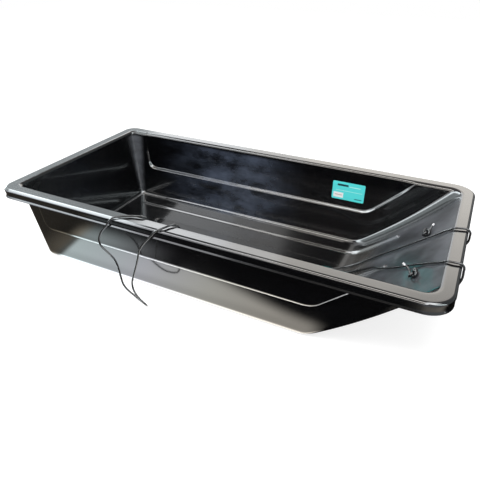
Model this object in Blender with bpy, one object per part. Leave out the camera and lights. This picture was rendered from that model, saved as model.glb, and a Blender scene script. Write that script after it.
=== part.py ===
"""Moulded utility sled: a one-piece tub with a turned-down rim, its tow rope and a label.

The tub is one thermoformed sheet. It is built as the sheet's visible face, thickened
downwards and outwards. The rope is free: each end passes through a hole in the front
ramp and is stopped inside the tub by an overhand knot.

Frame: metres, +Z up, +X to the front ramp, origin on the ground under the tub's middle.
"""
import math

import bmesh
import bpy
from mathutils import Matrix, Vector

# Tub sizes, measured on the sheet's inner faces
RIM_HEIGHT = 0.222
OPENING_LENGTH = 1.060
OPENING_WIDTH = 0.496
FLOOR_WIDTH = 0.451
SHEET = 0.004

# Back wall, front ramp and floor edges
BACK_WALL_LEAN = 0.031
RAMP_RUN = 0.237
RAMP_FOOT_ANGLE = math.radians(36.4)
BEND_RADIUS = 0.090
WALL_FOOT_RADIUS = 0.012
BACK_CORNER_RADIUS = 0.013
RAMP_FOOT_CORNER_RADIUS = 0.014
RAMP_TOP_CORNER_RADIUS = 0.024

# Rim: flat band, rounded outer edge and a skirt that ends in an out-turned lip
RIM_INNER_RADIUS = 0.0084
RIM_FRONT_INNER_RADIUS = 0.010
RIM_BAND = 0.021
RIM_OUTER_RADIUS = 0.007
SKIRT_DROP = 0.026
SKIRT_NECK = 0.003
LIP_HEIGHT = 0.009
BACK_RIM_CORNER_RADIUS = 0.034
FRONT_RIM_CORNER_RADIUS = 0.054

# Stepped panels in both side walls
PANEL_LEDGE_HEIGHT = 0.1015
PANEL_LEDGE_RISE = 0.0065
PANEL_STEP = 0.009
PANEL_TOP_STEP = 0.004
PANEL_BACK_MARGIN = 0.047
PANEL_FRONT_MARGIN = 0.105
PANEL_BACK_CORNER_RADIUS = 0.028
PANEL_FRONT_CORNER_RADIUS = 0.060

# Stiffening beads along the floor and up the ramp
BEAD_COUNT = 3
BEAD_SPACING = 0.1625
BEAD_WIDTH = 0.015
BEAD_CREST_WIDTH = 0.006
BEAD_HEIGHT = 0.005
BEAD_BACK_GAP = 0.058
BEAD_TOP_HEIGHT = 0.097
BEAD_END_TAPER = 0.006
GROOVE_INSET = 0.002

# Rope, holes and knots
ROPE_DIAMETER = 0.0048
ROPE_POINTS = 80
STRAIGHT_STEP = 0.200
TURN_STEP = math.radians(22)
HOLE_DIAMETER = 0.010
HOLE_SPACING = 0.190
HOLE_HEIGHT = 0.1635
HOLE_CUT_DEPTH = 0.024
KNOT_LOOP_SCALE = 0.0034
KNOT_THICKNESS = 0.0038
KNOT_START_ANGLE = 0.42
KNOT_TURN_STEPS = 22
KNOT_POINTS = 36
KNOT_RISE = 0.0066
PIECE_GAP = 0.0003

# Rope and knot places beside a hole: metres to the near side, up the ramp and off it
ROPE_END = [(0.0, 0.0, 0.001), (0.0, 0.0, -0.0045), (0.0, 0.0, -0.0090)]
FAR_KNOT_GAP = 0.019
FAR_KNOT_START = [
    (0.0, 0.0, 0.0013), (0.0, 0.0, 0.0045), (0.0025, -0.0008, 0.0095),
    (0.0075, -0.0028, 0.0121),
]
FAR_KNOT_TAIL = [(0.004, 0.0085, 0.0065), (-0.002, 0.0145, 0.0085), (-0.006, 0.0195, 0.0095)]
NEAR_KNOT_GAP = 0.022
NEAR_KNOT_START = [
    (0.0, 0.0, 0.0013), (0.0, 0.0, 0.0045), (0.003, 0.0012, 0.0085),
    (0.0085, 0.0042, 0.0075),
]
NEAR_KNOT_TAIL = [(0.009, -0.0070, 0.0160), (0.006, -0.0100, 0.0230), (0.004, -0.0120, 0.0310)]

# Where the rope lies between its two holes, as points along its middle
ROPE_ROUTE = [
    (0.5000, 0.0890, 0.1455), (0.5200, 0.0750, 0.1410), (0.5450, 0.0540, 0.1520),
    (0.5640, 0.0360, 0.1780), (0.5703, 0.0275, 0.1960), (0.5702, 0.0248, 0.2110),
    (0.5697, 0.0245, 0.2180), (0.5676, 0.0250, 0.2220), (0.5640, 0.0258, 0.2248),
    (0.5590, 0.0260, 0.2259), (0.5500, 0.0240, 0.2262), (0.5416, 0.0218, 0.2259),
    (0.5369, 0.0213, 0.2248), (0.5330, 0.0225, 0.2221), (0.5290, 0.0250, 0.2180),
    (0.5180, 0.0330, 0.2066), (0.5045, 0.0383, 0.1925), (0.4660, 0.0517, 0.1550),
    (0.4410, 0.0597, 0.1315), (0.4150, 0.0650, 0.1082), (0.3840, 0.0720, 0.0814),
    (0.3520, 0.0742, 0.0548), (0.3240, 0.0710, 0.0335), (0.2940, 0.0655, 0.0170),
    (0.2600, 0.0540, 0.0085), (0.2200, 0.0330, 0.0130), (0.1700, 0.0000, 0.0165),
    (0.1200, -0.0330, 0.0120), (0.0700, -0.0700, 0.0075), (0.0000, -0.1240, 0.0085),
    (-0.0500, -0.1625, 0.0140), (-0.0800, -0.1930, 0.0140), (-0.0960, -0.2140, 0.0280),
    (-0.1020, -0.2220, 0.0550), (-0.1060, -0.2285, 0.1100), (-0.1110, -0.2380, 0.1850),
    (-0.1130, -0.2430, 0.2110), (-0.1165, -0.2475, 0.2215), (-0.1225, -0.2515, 0.2260),
    (-0.1330, -0.2550, 0.2266), (-0.1492, -0.2610, 0.2258), (-0.1719, -0.2760, 0.2262),
    (-0.1845, -0.2862, 0.2240), (-0.1930, -0.2905, 0.2150), (-0.2033, -0.2905, 0.2000),
    (-0.2187, -0.2900, 0.1834), (-0.2297, -0.2900, 0.1663), (-0.2345, -0.2900, 0.1500),
    (-0.2315, -0.2900, 0.1380), (-0.2209, -0.2900, 0.1286), (-0.2075, -0.2900, 0.1195),
    (-0.1960, -0.2900, 0.1095), (-0.1892, -0.2900, 0.0965), (-0.1848, -0.2900, 0.0769),
    (-0.1815, -0.2905, 0.0560), (-0.1768, -0.2915, 0.0400), (-0.1692, -0.2915, 0.0290),
    (-0.1592, -0.2910, 0.0210), (-0.1480, -0.2905, 0.0140), (-0.1340, -0.2915, 0.0070),
    (-0.1200, -0.2940, 0.0036), (-0.1065, -0.2980, 0.0030), (-0.1019, -0.3005, 0.0042),
    (-0.0991, -0.3037, 0.0074), (-0.0988, -0.3067, 0.0118), (-0.1011, -0.3087, 0.0162),
    (-0.1053, -0.3091, 0.0194), (-0.1110, -0.3076, 0.0208), (-0.1200, -0.3040, 0.0218),
    (-0.1310, -0.3005, 0.0275), (-0.1394, -0.2976, 0.0350), (-0.1433, -0.2957, 0.0440),
    (-0.1442, -0.2945, 0.0560), (-0.1396, -0.2931, 0.0750), (-0.1294, -0.2900, 0.1073),
    (-0.1205, -0.2900, 0.1340), (-0.1148, -0.2900, 0.1532), (-0.1043, -0.2900, 0.1717),
    (-0.0894, -0.2900, 0.1901), (-0.0732, -0.2905, 0.2083), (-0.0635, -0.2895, 0.2195),
    (-0.0540, -0.2840, 0.2254), (-0.0475, -0.2720, 0.2262), (-0.0425, -0.2600, 0.2264),
    (-0.0360, -0.2510, 0.2258), (-0.0290, -0.2450, 0.2195), (-0.0255, -0.2415, 0.2050),
    (-0.0200, -0.2350, 0.1700), (-0.0120, -0.2270, 0.1050), (-0.0060, -0.2210, 0.0550),
    (0.0000, -0.2130, 0.0280), (0.0120, -0.1930, 0.0150), (0.0380, -0.1625, 0.0160),
    (0.0850, -0.1180, 0.0110), (0.1500, -0.0610, 0.0085), (0.2200, 0.0000, 0.0148),
    (0.2450, 0.0190, 0.0115), (0.2700, 0.0300, 0.0098), (0.2950, 0.0340, 0.0172),
    (0.3190, 0.0325, 0.0297), (0.3365, 0.0265, 0.0427), (0.3560, 0.0140, 0.0612),
    (0.3710, 0.0020, 0.0774), (0.3828, -0.0060, 0.0876), (0.4000, -0.0170, 0.0967),
    (0.4240, -0.0350, 0.1162), (0.4580, -0.0590, 0.1477), (0.4834, -0.0793, 0.1720),
    (0.5068, -0.1008, 0.1952), (0.5203, -0.1154, 0.2090), (0.5290, -0.1235, 0.2180),
    (0.5330, -0.1265, 0.2221), (0.5369, -0.1285, 0.2248), (0.5416, -0.1295, 0.2259),
    (0.5500, -0.1295, 0.2262), (0.5590, -0.1285, 0.2259), (0.5640, -0.1285, 0.2248),
    (0.5676, -0.1288, 0.2220), (0.5697, -0.1295, 0.2180), (0.5702, -0.1310, 0.2110),
    (0.5708, -0.1335, 0.1960), (0.5650, -0.1350, 0.1780), (0.5450, -0.1280, 0.1520),
    (0.5200, -0.1130, 0.1410), (0.5000, -0.1005, 0.1455),
]

# Label on the far side wall
LABEL_LENGTH = 0.095
LABEL_HEIGHT = 0.055
LABEL_THICKNESS = 0.0004
LABEL_CORNER_RADIUS = 0.003
LABEL_FRONT_GAP = 0.0657
LABEL_CENTRE_HEIGHT = 0.155

# Colours
PLASTIC_COLOUR = (0.012, 0.012, 0.013)
ROPE_COLOUR = (0.015, 0.015, 0.016)
LABEL_COLOUR = (0.03, 0.42, 0.42)

# Facets
CORNER_STEPS = 8
FOOT_STEPS = 4
BEND_STEPS = 3
RIM_STEPS = 3
PANEL_STEPS = 4
SECTION_SIDES = 20
LABEL_CORNER_STEPS = 3
SMOOTH_STEPS = 12
CREASE_ANGLE = math.radians(40)
OVERCUT = 0.001

# Sizes worked out from the ones above
WALL_HEIGHT = RIM_HEIGHT - SHEET - RIM_INNER_RADIUS
FRONT_TOP_X = OPENING_LENGTH / 2
BACK_TOP_X = -OPENING_LENGTH / 2
BACK_FOOT_X = BACK_TOP_X + BACK_WALL_LEAN
RAMP_FOOT_X = FRONT_TOP_X - RAMP_RUN
RIM_OUTER_OFFSET = RIM_INNER_RADIUS + RIM_BAND + RIM_OUTER_RADIUS


def lerp(start, end, share):
    """Return the value at a share of the way from start to end."""
    return start + (end - start) * share


def fillet_run(radius, rise, turn):
    """Return how far a foot fillet has run from its start when it has risen this much."""
    lowest_cosine = math.cos(turn)
    cosine = max(lowest_cosine, 1 - rise / radius)
    return radius * math.sqrt(1 - cosine * cosine)


def leaning_foot(rise, foot, lean, radius):
    """Return the place of a leaning flat wall at a height above the inner floor.

    foot is where the wall would meet the floor without its fillet, and lean is how far
    the wall moves outwards over the wall height.
    """
    turn = math.atan2(WALL_HEIGHT, lean)
    tangent = radius * math.tan(turn / 2)
    if rise < radius * (1 - math.cos(turn)):
        return foot - tangent + fillet_run(radius, rise, turn)
    return foot + lean * rise / WALL_HEIGHT


def base_half_width(rise):
    """Return the side wall's inner half width outside the stepped panel."""
    lean = (OPENING_WIDTH - FLOOR_WIDTH) / 2 - PANEL_TOP_STEP
    return leaning_foot(rise, FLOOR_WIDTH / 2, lean, WALL_FOOT_RADIUS)


def back_x(rise):
    """Return the back wall's inner x at a height above the inner floor."""
    return -leaning_foot(rise, -BACK_FOOT_X, BACK_WALL_LEAN, WALL_FOOT_RADIUS)


def ramp_arc():
    """Return the ramp's arc: start x, start rise, start angle, radius and top angle."""
    tangent = BEND_RADIUS * math.tan(RAMP_FOOT_ANGLE / 2)
    start_x = RAMP_FOOT_X - tangent + BEND_RADIUS * math.sin(RAMP_FOOT_ANGLE)
    start_rise = BEND_RADIUS * (1 - math.cos(RAMP_FOOT_ANGLE))
    run = FRONT_TOP_X - start_x
    climb = WALL_HEIGHT - start_rise
    chord_angle = math.atan2(climb, run)
    top_angle = 2 * chord_angle - RAMP_FOOT_ANGLE
    radius = math.hypot(run, climb) / (2 * math.sin((top_angle - RAMP_FOOT_ANGLE) / 2))
    return start_x, start_rise, RAMP_FOOT_ANGLE, radius, top_angle


def ramp_point(rise):
    """Return the ramp's x and its slope angle at a height above the inner floor."""
    start_x, start_rise, start_angle, radius, _top_angle = ramp_arc()
    if rise <= start_rise:
        angle = math.acos(1 - rise / BEND_RADIUS)
        return start_x - BEND_RADIUS * (math.sin(start_angle) - math.sin(angle)), angle
    angle = math.acos(math.cos(start_angle) - (rise - start_rise) / radius)
    return start_x + radius * (math.sin(angle) - math.sin(start_angle)), angle


def panel_back_slope():
    """Return the slope angle of the panel's back leg, parallel to the back wall."""
    return math.atan2(WALL_HEIGHT, BACK_WALL_LEAN)


def panel_front_slope():
    """Return the slope angle of the panel's front leg, parallel to the ramp's chord."""
    start_x, start_rise, _angle, _radius, _top = ramp_arc()
    return math.atan2(WALL_HEIGHT - start_rise, FRONT_TOP_X - start_x)


def leg_reach(climb, inset, slope, corner_radius):
    """Return how far a panel edge has run beyond its lower corner's arc centre.

    climb is the height above the panel's ledge. The ledge turns upwards into the leg
    on an arc. inset moves the whole edge inwards, and the arc keeps its centre. Below
    the arc the result is negative, which keeps the two edges' points apart.
    """
    radius = corner_radius - inset
    drop = corner_radius - climb
    if drop >= radius:
        return radius - drop
    if drop > radius * math.cos(slope):
        return math.sqrt(radius * radius - drop * drop)
    tangent = radius * math.sin(slope)
    return tangent + (radius * math.cos(slope) - drop) / math.tan(slope)


def panel_back_x(rise, inset):
    """Return x of the panel's back edge, moved inwards by an inset."""
    slope = panel_back_slope()
    ledge = PANEL_LEDGE_HEIGHT - SHEET
    corner = BACK_FOOT_X + PANEL_BACK_MARGIN - ledge / math.tan(slope)
    centre = corner + PANEL_BACK_CORNER_RADIUS * math.tan(slope / 2)
    return centre - leg_reach(rise - ledge, inset, slope, PANEL_BACK_CORNER_RADIUS)


def panel_front_x(rise, inset):
    """Return x of the panel's front edge, moved inwards by an inset."""
    slope = panel_front_slope()
    ledge = PANEL_LEDGE_HEIGHT - SHEET
    top = FRONT_TOP_X - PANEL_FRONT_MARGIN
    corner = top - (WALL_HEIGHT - ledge) / math.tan(slope)
    centre = corner - PANEL_FRONT_CORNER_RADIUS * math.tan(slope / 2)
    return centre + leg_reach(rise - ledge, inset, slope, PANEL_FRONT_CORNER_RADIUS)


def panel_depth(rise):
    """Return how far the panel stands out at a height above the inner floor."""
    ledge = PANEL_LEDGE_HEIGHT - SHEET
    above = max(0.0, rise - ledge)
    share = min(1.0, above / PANEL_LEDGE_RISE)
    return share * lerp(PANEL_STEP, PANEL_TOP_STEP, above / (WALL_HEIGHT - ledge))


class Section:
    """One closed ring of the tub: a rounded rectangle, with its own height at the front."""

    def __init__(self, half_width, back, front, back_corner, front_corner, side_z, front_z):
        self.half_width = half_width
        self.back = back
        self.front = front
        self.back_corner = back_corner
        self.front_corner = front_corner
        self.side_z = side_z
        self.front_z = front_z


def wall_section(rise):
    """Return the ring of the walls at a height above the inner floor."""
    share = rise / WALL_HEIGHT
    front, _angle = ramp_point(rise)
    front_corner = lerp(RAMP_FOOT_CORNER_RADIUS, RAMP_TOP_CORNER_RADIUS, share)
    z = SHEET + rise
    return Section(base_half_width(rise), back_x(rise), front,
                   BACK_CORNER_RADIUS, front_corner, z, z)


def wall_rises():
    """Return the heights of the wall rings above the inner floor, lowest first."""
    foot_turn = math.atan2(WALL_HEIGHT, BACK_WALL_LEAN)
    rises = [WALL_FOOT_RADIUS * (1 - math.cos(foot_turn * step / FOOT_STEPS))
             for step in range(FOOT_STEPS + 1)]
    bend_top = BEND_RADIUS * (1 - math.cos(RAMP_FOOT_ANGLE))
    ledge = PANEL_LEDGE_HEIGHT - SHEET
    rises += [lerp(bend_top, ledge, step / BEND_STEPS) for step in range(BEND_STEPS)]
    rises.append(ledge)
    corner_top = ledge + PANEL_BACK_CORNER_RADIUS
    inner = PANEL_BACK_CORNER_RADIUS - PANEL_LEDGE_RISE
    for step in range(1, PANEL_STEPS):
        turn = math.acos(inner / PANEL_BACK_CORNER_RADIUS) * step / PANEL_STEPS
        rises.append(ledge + PANEL_BACK_CORNER_RADIUS * (1 - math.cos(turn)))
    for step in range(PANEL_STEPS):
        rises.append(corner_top - inner * math.cos(math.pi / 2 * step / PANEL_STEPS))
    rises.append(corner_top)
    rises += [lerp(corner_top, WALL_HEIGHT, step / BEND_STEPS) for step in range(1, BEND_STEPS + 1)]
    return rises


def rim_profile():
    """Return the rim's (offset, z) points outwards from the top of a side or back wall."""
    points = []
    for step in range(1, RIM_STEPS + 1):
        angle = math.pi / 2 * step / RIM_STEPS
        points.append((RIM_INNER_RADIUS * (1 - math.cos(angle)),
                       RIM_HEIGHT - RIM_INNER_RADIUS * (1 - math.sin(angle))))
    band_end = RIM_INNER_RADIUS + RIM_BAND
    for step in range(RIM_STEPS + 1):
        angle = math.pi / 2 * step / RIM_STEPS
        points.append((band_end + RIM_OUTER_RADIUS * math.sin(angle),
                       RIM_HEIGHT - RIM_OUTER_RADIUS * (1 - math.cos(angle))))
    lip_bottom = RIM_HEIGHT - SKIRT_DROP
    points.append((RIM_OUTER_OFFSET - SKIRT_NECK, lip_bottom + LIP_HEIGHT))
    points.append((RIM_OUTER_OFFSET - SKIRT_NECK / 2, lip_bottom + LIP_HEIGHT / 2))
    points.append((RIM_OUTER_OFFSET, lip_bottom))
    return points


def front_rim_profile():
    """Return the rim's (offset, z) points outwards from the top of the ramp.

    The ramp keeps its top slope up to a rounded edge. The band, the outer edge and the
    skirt are those of the sides.
    """
    top_angle = ramp_arc()[4]
    edge_drop = RIM_FRONT_INNER_RADIUS * (1 - math.cos(top_angle))
    edge_start = (RIM_INNER_RADIUS - edge_drop) / math.tan(top_angle)
    points = []
    for step in range(RIM_STEPS):
        angle = top_angle * (1 - step / (RIM_STEPS - 1))
        run = RIM_FRONT_INNER_RADIUS * (math.sin(top_angle) - math.sin(angle))
        points.append((edge_start + run,
                       RIM_HEIGHT - RIM_FRONT_INNER_RADIUS * (1 - math.cos(angle))))
    return points + rim_profile()[RIM_STEPS:]


def rim_sections():
    """Return the rings of the rim, from the top of the walls out to the lip."""
    sides = rim_profile()
    fronts = front_rim_profile()
    half_width = OPENING_WIDTH / 2
    sections = []
    for (side_offset, side_z), (front_offset, front_z) in zip(sides, fronts):
        share = min(1.0, side_offset / RIM_OUTER_OFFSET)
        back_corner = lerp(BACK_CORNER_RADIUS, BACK_RIM_CORNER_RADIUS, share)
        front_corner = lerp(RAMP_TOP_CORNER_RADIUS, FRONT_RIM_CORNER_RADIUS, share)
        sections.append(Section(half_width + side_offset, BACK_TOP_X - side_offset,
                                FRONT_TOP_X + front_offset, back_corner, front_corner,
                                side_z, front_z))
    return sections


def side_points(section, rise):
    """Return the (x, step) places along a side, back to front.

    step is how far the side stands out there, which is the panel's depth between the
    inner edges of its sloping border.
    """
    start = section.back + section.back_corner
    end = section.front - section.front_corner
    height = min(rise, WALL_HEIGHT)
    depth = panel_depth(rise) if rise <= WALL_HEIGHT else 0.0
    inner = PANEL_LEDGE_RISE
    return [(start, 0.0),
            (panel_back_x(height, 0.0), 0.0), (panel_back_x(height, inner), depth),
            (panel_front_x(height, inner), depth), (panel_front_x(height, 0.0), 0.0),
            (end, 0.0)]


def corner_arc(centre_x, centre_y, radius, start_angle, start_z, end_z):
    """Return the inner points of a ring's corner, without its two ends."""
    points = []
    for step in range(1, CORNER_STEPS):
        share = step / CORNER_STEPS
        angle = start_angle + math.pi / 2 * share
        points.append(Vector((centre_x + radius * math.cos(angle),
                              centre_y + radius * math.sin(angle),
                              lerp(start_z, end_z, share))))
    return points


def ring_points(section, rise):
    """Return a section's points, from the back of the near side round to its start."""
    half = section.half_width
    back_r = section.back_corner
    front_r = section.front_corner
    near = [Vector((x, -half - step, section.side_z)) for x, step in side_points(section, rise)]
    far = [Vector((point.x, -point.y, point.z)) for point in reversed(near)]
    front_x = section.front
    front = [Vector((front_x, side * (half - front_r), section.front_z)) for side in (-1, 1)]
    back = [Vector((section.back, side * (half - back_r), section.side_z)) for side in (1, -1)]
    quarter = math.pi / 2
    points = near
    points += corner_arc(front_x - front_r, front_r - half, front_r, -quarter,
                         section.side_z, section.front_z)
    points += front
    points += corner_arc(front_x - front_r, half - front_r, front_r, 0.0,
                         section.front_z, section.side_z)
    points += far
    points += corner_arc(section.back + back_r, half - back_r, back_r, quarter,
                         section.side_z, section.side_z)
    points += back
    points += corner_arc(section.back + back_r, back_r - half, back_r, 2 * quarter,
                         section.side_z, section.side_z)
    return points


def tub_rings():
    """Return all rings of the tub's visible face, from the floor out to the lip."""
    rings = [ring_points(wall_section(rise), rise) for rise in wall_rises()]
    above = 2 * WALL_HEIGHT
    rings += [ring_points(section, above) for section in rim_sections()]
    return rings


def mesh_from_rings(name, rings):
    """Return a mesh with a floor face and a band of quads between each two rings."""
    bm = bmesh.new()
    loops = [[bm.verts.new(point) for point in ring] for ring in rings]
    bm.faces.new(loops[0])
    count = len(loops[0])
    for inner, outer in zip(loops, loops[1:]):
        for index in range(count):
            after = (index + 1) % count
            bm.faces.new((inner[index], outer[index], outer[after], inner[after]))
    mesh = bpy.data.meshes.new(name)
    bm.to_mesh(mesh)
    bm.free()
    return mesh


def tunnel_path(end_trim):
    """Return (x, rise, slope) points of a bead, from its back end to its end on the ramp."""
    back_end = BACK_FOOT_X + BEAD_BACK_GAP + end_trim
    tangent = BEND_RADIUS * math.tan(RAMP_FOOT_ANGLE / 2)
    path = [(back_end, 0.0, 0.0), (back_end + BEAD_END_TAPER, 0.0, 0.0)]
    steps = 2 * BEND_STEPS
    for step in range(steps):
        angle = RAMP_FOOT_ANGLE * (step + 0.5) / steps
        x = RAMP_FOOT_X - tangent + BEND_RADIUS * math.sin(angle)
        path.append((x, BEND_RADIUS * (1 - math.cos(angle)), angle))
    low = path[-1][1]
    top = BEAD_TOP_HEIGHT - SHEET - end_trim
    taper = BEAD_END_TAPER * math.sin(ramp_point(top)[1])
    for rise in (lerp(low, top - taper, 0.5), top - taper, top):
        x, angle = ramp_point(rise)
        path.append((x, rise, angle))
    return path


def bead_solid(bm, centre_y, base_half, crest_half, base, crest, path):
    """Add a ridge with sloping sides along a path on the sheet's inner face.

    base and crest are its lower and upper faces, measured square to the sheet. The
    crest comes down to the sheet at both ends.
    """
    loops = []
    for index, (x, rise, slope) in enumerate(path):
        at_end = index in (0, len(path) - 1)
        top = base + OVERCUT / 2 if at_end else crest
        normal = Vector((-math.sin(slope), 0.0, math.cos(slope)))
        foot = Vector((x, centre_y, SHEET + rise))
        corners = ((-base_half, base), (base_half, base), (crest_half, top), (-crest_half, top))
        loops.append([bm.verts.new(foot + Vector((0.0, side, 0.0)) + normal * height)
                      for side, height in corners])
    bm.faces.new(loops[0])
    bm.faces.new(list(reversed(loops[-1])))
    for first, second in zip(loops, loops[1:]):
        for index in range(4):
            after = (index + 1) % 4
            bm.faces.new((first[index], second[index], second[after], first[after]))


def bead_guide(name, side_inset, base, crest, end_trim):
    """Return a guide object with one ridge for each bead."""
    bm = bmesh.new()
    base_half = BEAD_WIDTH / 2 - side_inset
    crest_half = BEAD_CREST_WIDTH / 2
    for number in range(BEAD_COUNT):
        centre_y = (number - (BEAD_COUNT - 1) / 2) * BEAD_SPACING
        bead_solid(bm, centre_y, base_half, crest_half, base, crest, tunnel_path(end_trim))
    bmesh.ops.recalc_face_normals(bm, faces=bm.faces)
    mesh = bpy.data.meshes.new(name)
    bm.to_mesh(mesh)
    bm.free()
    return guide_object(name, mesh)


def hole_place(side):
    """Return a rope hole's centre on the ramp's inner face and the slope there."""
    x, slope = ramp_point(HOLE_HEIGHT - SHEET)
    return Vector((x, side * HOLE_SPACING / 2, HOLE_HEIGHT)), slope


def hole_guide(name):
    """Return a guide object with a cutter for each rope hole, square to the ramp."""
    bm = bmesh.new()
    for side in (-1, 1):
        centre, slope = hole_place(side)
        turn = Matrix.Rotation(-slope, 4, "Y")
        bmesh.ops.create_cone(bm, cap_ends=True, segments=SECTION_SIDES,
                              radius1=HOLE_DIAMETER / 2, radius2=HOLE_DIAMETER / 2,
                              depth=HOLE_CUT_DEPTH, matrix=Matrix.Translation(centre) @ turn)
    mesh = bpy.data.meshes.new(name)
    bm.to_mesh(mesh)
    bm.free()
    return guide_object(name, mesh)


def guide_object(name, mesh):
    """Return an object that only shapes others and is never drawn."""
    guide = bpy.data.objects.new(name, mesh)
    bpy.context.scene.collection.objects.link(guide)
    guide.hide_render = True
    guide.display_type = "WIRE"
    return guide


def plastic_material(name, colour, roughness):
    """Return a plain material with a Principled shader."""
    material = bpy.data.materials.new(name)
    material.use_nodes = True
    shader = material.node_tree.nodes["Principled BSDF"]
    shader.inputs["Base Color"].default_value = (*colour, 1.0)
    shader.inputs["Roughness"].default_value = roughness
    shader.inputs["Metallic"].default_value = 0.0
    material.diffuse_color = (*colour, 1.0)
    return material


def add_boolean(target, guide, operation):
    """Join or cut a target with a guide object."""
    modifier = target.modifiers.new(guide.name, "BOOLEAN")
    modifier.operation = operation
    modifier.solver = "EXACT"
    modifier.object = guide


def build_tub():
    """Build the moulded tub with its rim, panels, beads and rope holes."""
    tub = bpy.data.objects.new("tub", mesh_from_rings("tub", tub_rings()))
    bpy.context.scene.collection.objects.link(tub)
    tub.data.materials.append(plastic_material("tub_plastic", PLASTIC_COLOUR, 0.16))
    tub.data.shade_smooth()
    tub.data.set_sharp_from_angle(angle=CREASE_ANGLE)
    thicken = tub.modifiers.new("sheet", "SOLIDIFY")
    thicken.thickness = SHEET
    thicken.offset = -1.0
    thicken.use_even_offset = True
    add_boolean(tub, bead_guide("bead_ridges", 0.0, -OVERCUT, BEAD_HEIGHT, 0.0), "UNION")
    add_boolean(tub, bead_guide("bead_grooves", GROOVE_INSET, -SHEET - OVERCUT,
                                BEAD_HEIGHT - SHEET, GROOVE_INSET), "DIFFERENCE")
    add_boolean(tub, hole_guide("rope_holes"), "DIFFERENCE")
    return tub


def panel_face(rise):
    """Return the far panel's inner y at a height above the inner floor."""
    return base_half_width(rise) + panel_depth(rise)


def rounded_outline(length, height, radius):
    """Return the points of a rounded rectangle about its centre."""
    points = []
    quarter = math.pi / 2
    corners = ((1, -1, -quarter), (1, 1, 0.0), (-1, 1, quarter), (-1, -1, 2 * quarter))
    for side, end, start in corners:
        for step in range(LABEL_CORNER_STEPS + 1):
            angle = start + quarter * step / LABEL_CORNER_STEPS
            points.append((side * (length / 2 - radius) + radius * math.cos(angle),
                           end * (height / 2 - radius) + radius * math.sin(angle)))
    return points


def build_label():
    """Build the thin label that lies flat on the inside of the far wall's panel."""
    middle = LABEL_CENTRE_HEIGHT - SHEET
    half = LABEL_HEIGHT / 2
    low = Vector((0.0, panel_face(middle - half), middle - half))
    high = Vector((0.0, panel_face(middle + half), middle + half))
    upward = (high - low).normalized()
    inward = Vector((0.0, -upward.z, upward.y))
    front_edge = panel_front_x(middle, PANEL_LEDGE_RISE) - LABEL_FRONT_GAP
    centre = (low + high) / 2 + inward * PIECE_GAP
    centre += Vector((front_edge - LABEL_LENGTH / 2, 0.0, SHEET))
    bm = bmesh.new()
    verts = [bm.verts.new(centre + Vector((x, 0.0, 0.0)) + upward * rise)
             for x, rise in rounded_outline(LABEL_LENGTH, LABEL_HEIGHT, LABEL_CORNER_RADIUS)]
    back = bm.faces.new(verts)
    front = bmesh.ops.extrude_face_region(bm, geom=[back])
    moved = [item for item in front["geom"] if isinstance(item, bmesh.types.BMVert)]
    bmesh.ops.translate(bm, verts=moved, vec=inward * LABEL_THICKNESS)
    bmesh.ops.recalc_face_normals(bm, faces=bm.faces)
    mesh = bpy.data.meshes.new("label")
    bm.to_mesh(mesh)
    bm.free()
    mesh.materials.append(plastic_material("label_film", LABEL_COLOUR, 0.35))
    label = bpy.data.objects.new("label", mesh)
    bpy.context.scene.collection.objects.link(label)
    return label


def smooth_samples(route):
    """Return close points on a smooth curve through the route's points."""
    ends = [2 * route[0] - route[1]] + list(route) + [2 * route[-1] - route[-2]]
    samples = []
    for before, start, end, after in zip(ends, ends[1:], ends[2:], ends[3:]):
        first = math.sqrt((start - before).length)
        middle = math.sqrt((end - start).length)
        last = math.sqrt((after - end).length)
        leave = ((start - before) / first - (end - before) / (first + middle)
                 + (end - start) / middle) * middle
        arrive = ((end - start) / middle - (after - start) / (middle + last)
                  + (after - end) / last) * middle
        for step in range(SMOOTH_STEPS):
            share = step / SMOOTH_STEPS
            square = share * share
            cube = square * share
            samples.append(start * (2 * cube - 3 * square + 1) + end * (3 * square - 2 * cube)
                           + leave * (cube - 2 * square + share) + arrive * (cube - square))
    samples.append(route[-1])
    return samples


def spaced_points(samples, count):
    """Return a number of the samples, close together on bends and far apart on runs."""
    effort = [0.0]
    for before, here, after in zip(samples, samples[1:], samples[2:] + [None]):
        turn = 0.0
        if after is not None:
            turn = (here - before).angle(after - here, 0.0)
        effort.append(effort[-1] + (here - before).length / STRAIGHT_STEP + turn / TURN_STEP)
    chosen = []
    index = 0
    for number in range(count):
        goal = effort[-1] * number / (count - 1)
        while index < len(samples) - 1 and effort[index] < goal:
            index += 1
        chosen.append(samples[index])
    return chosen


def cord_object(name, points, material):
    """Return a round tube with closed ends along some points."""
    curve = bpy.data.curves.new(name, "CURVE")
    curve.dimensions = "3D"
    curve.bevel_depth = ROPE_DIAMETER / 2
    curve.bevel_resolution = 2
    curve.use_fill_caps = True
    spline = curve.splines.new("POLY")
    spline.points.add(len(points) - 1)
    for item, point in zip(spline.points, points):
        item.co = (*point, 1.0)
    curve.materials.append(material)
    cord = bpy.data.objects.new(name, curve)
    bpy.context.scene.collection.objects.link(cord)
    return cord


def hole_frame(side):
    """Return a rope hole's centre and its directions: to the near side, up, outwards."""
    centre, slope = hole_place(side)
    up_ramp = Vector((math.cos(slope), 0.0, math.sin(slope)))
    out_of_ramp = Vector((-math.sin(slope), 0.0, math.cos(slope)))
    return centre, Vector((0.0, -1.0, 0.0)), up_ramp, out_of_ramp


def place(side, point):
    """Return the world place of (to near side, up ramp, off ramp) metres from a hole."""
    centre, near, up_ramp, out_of_ramp = hole_frame(side)
    return centre + near * point[0] + up_ramp * point[1] + out_of_ramp * point[2]


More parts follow.
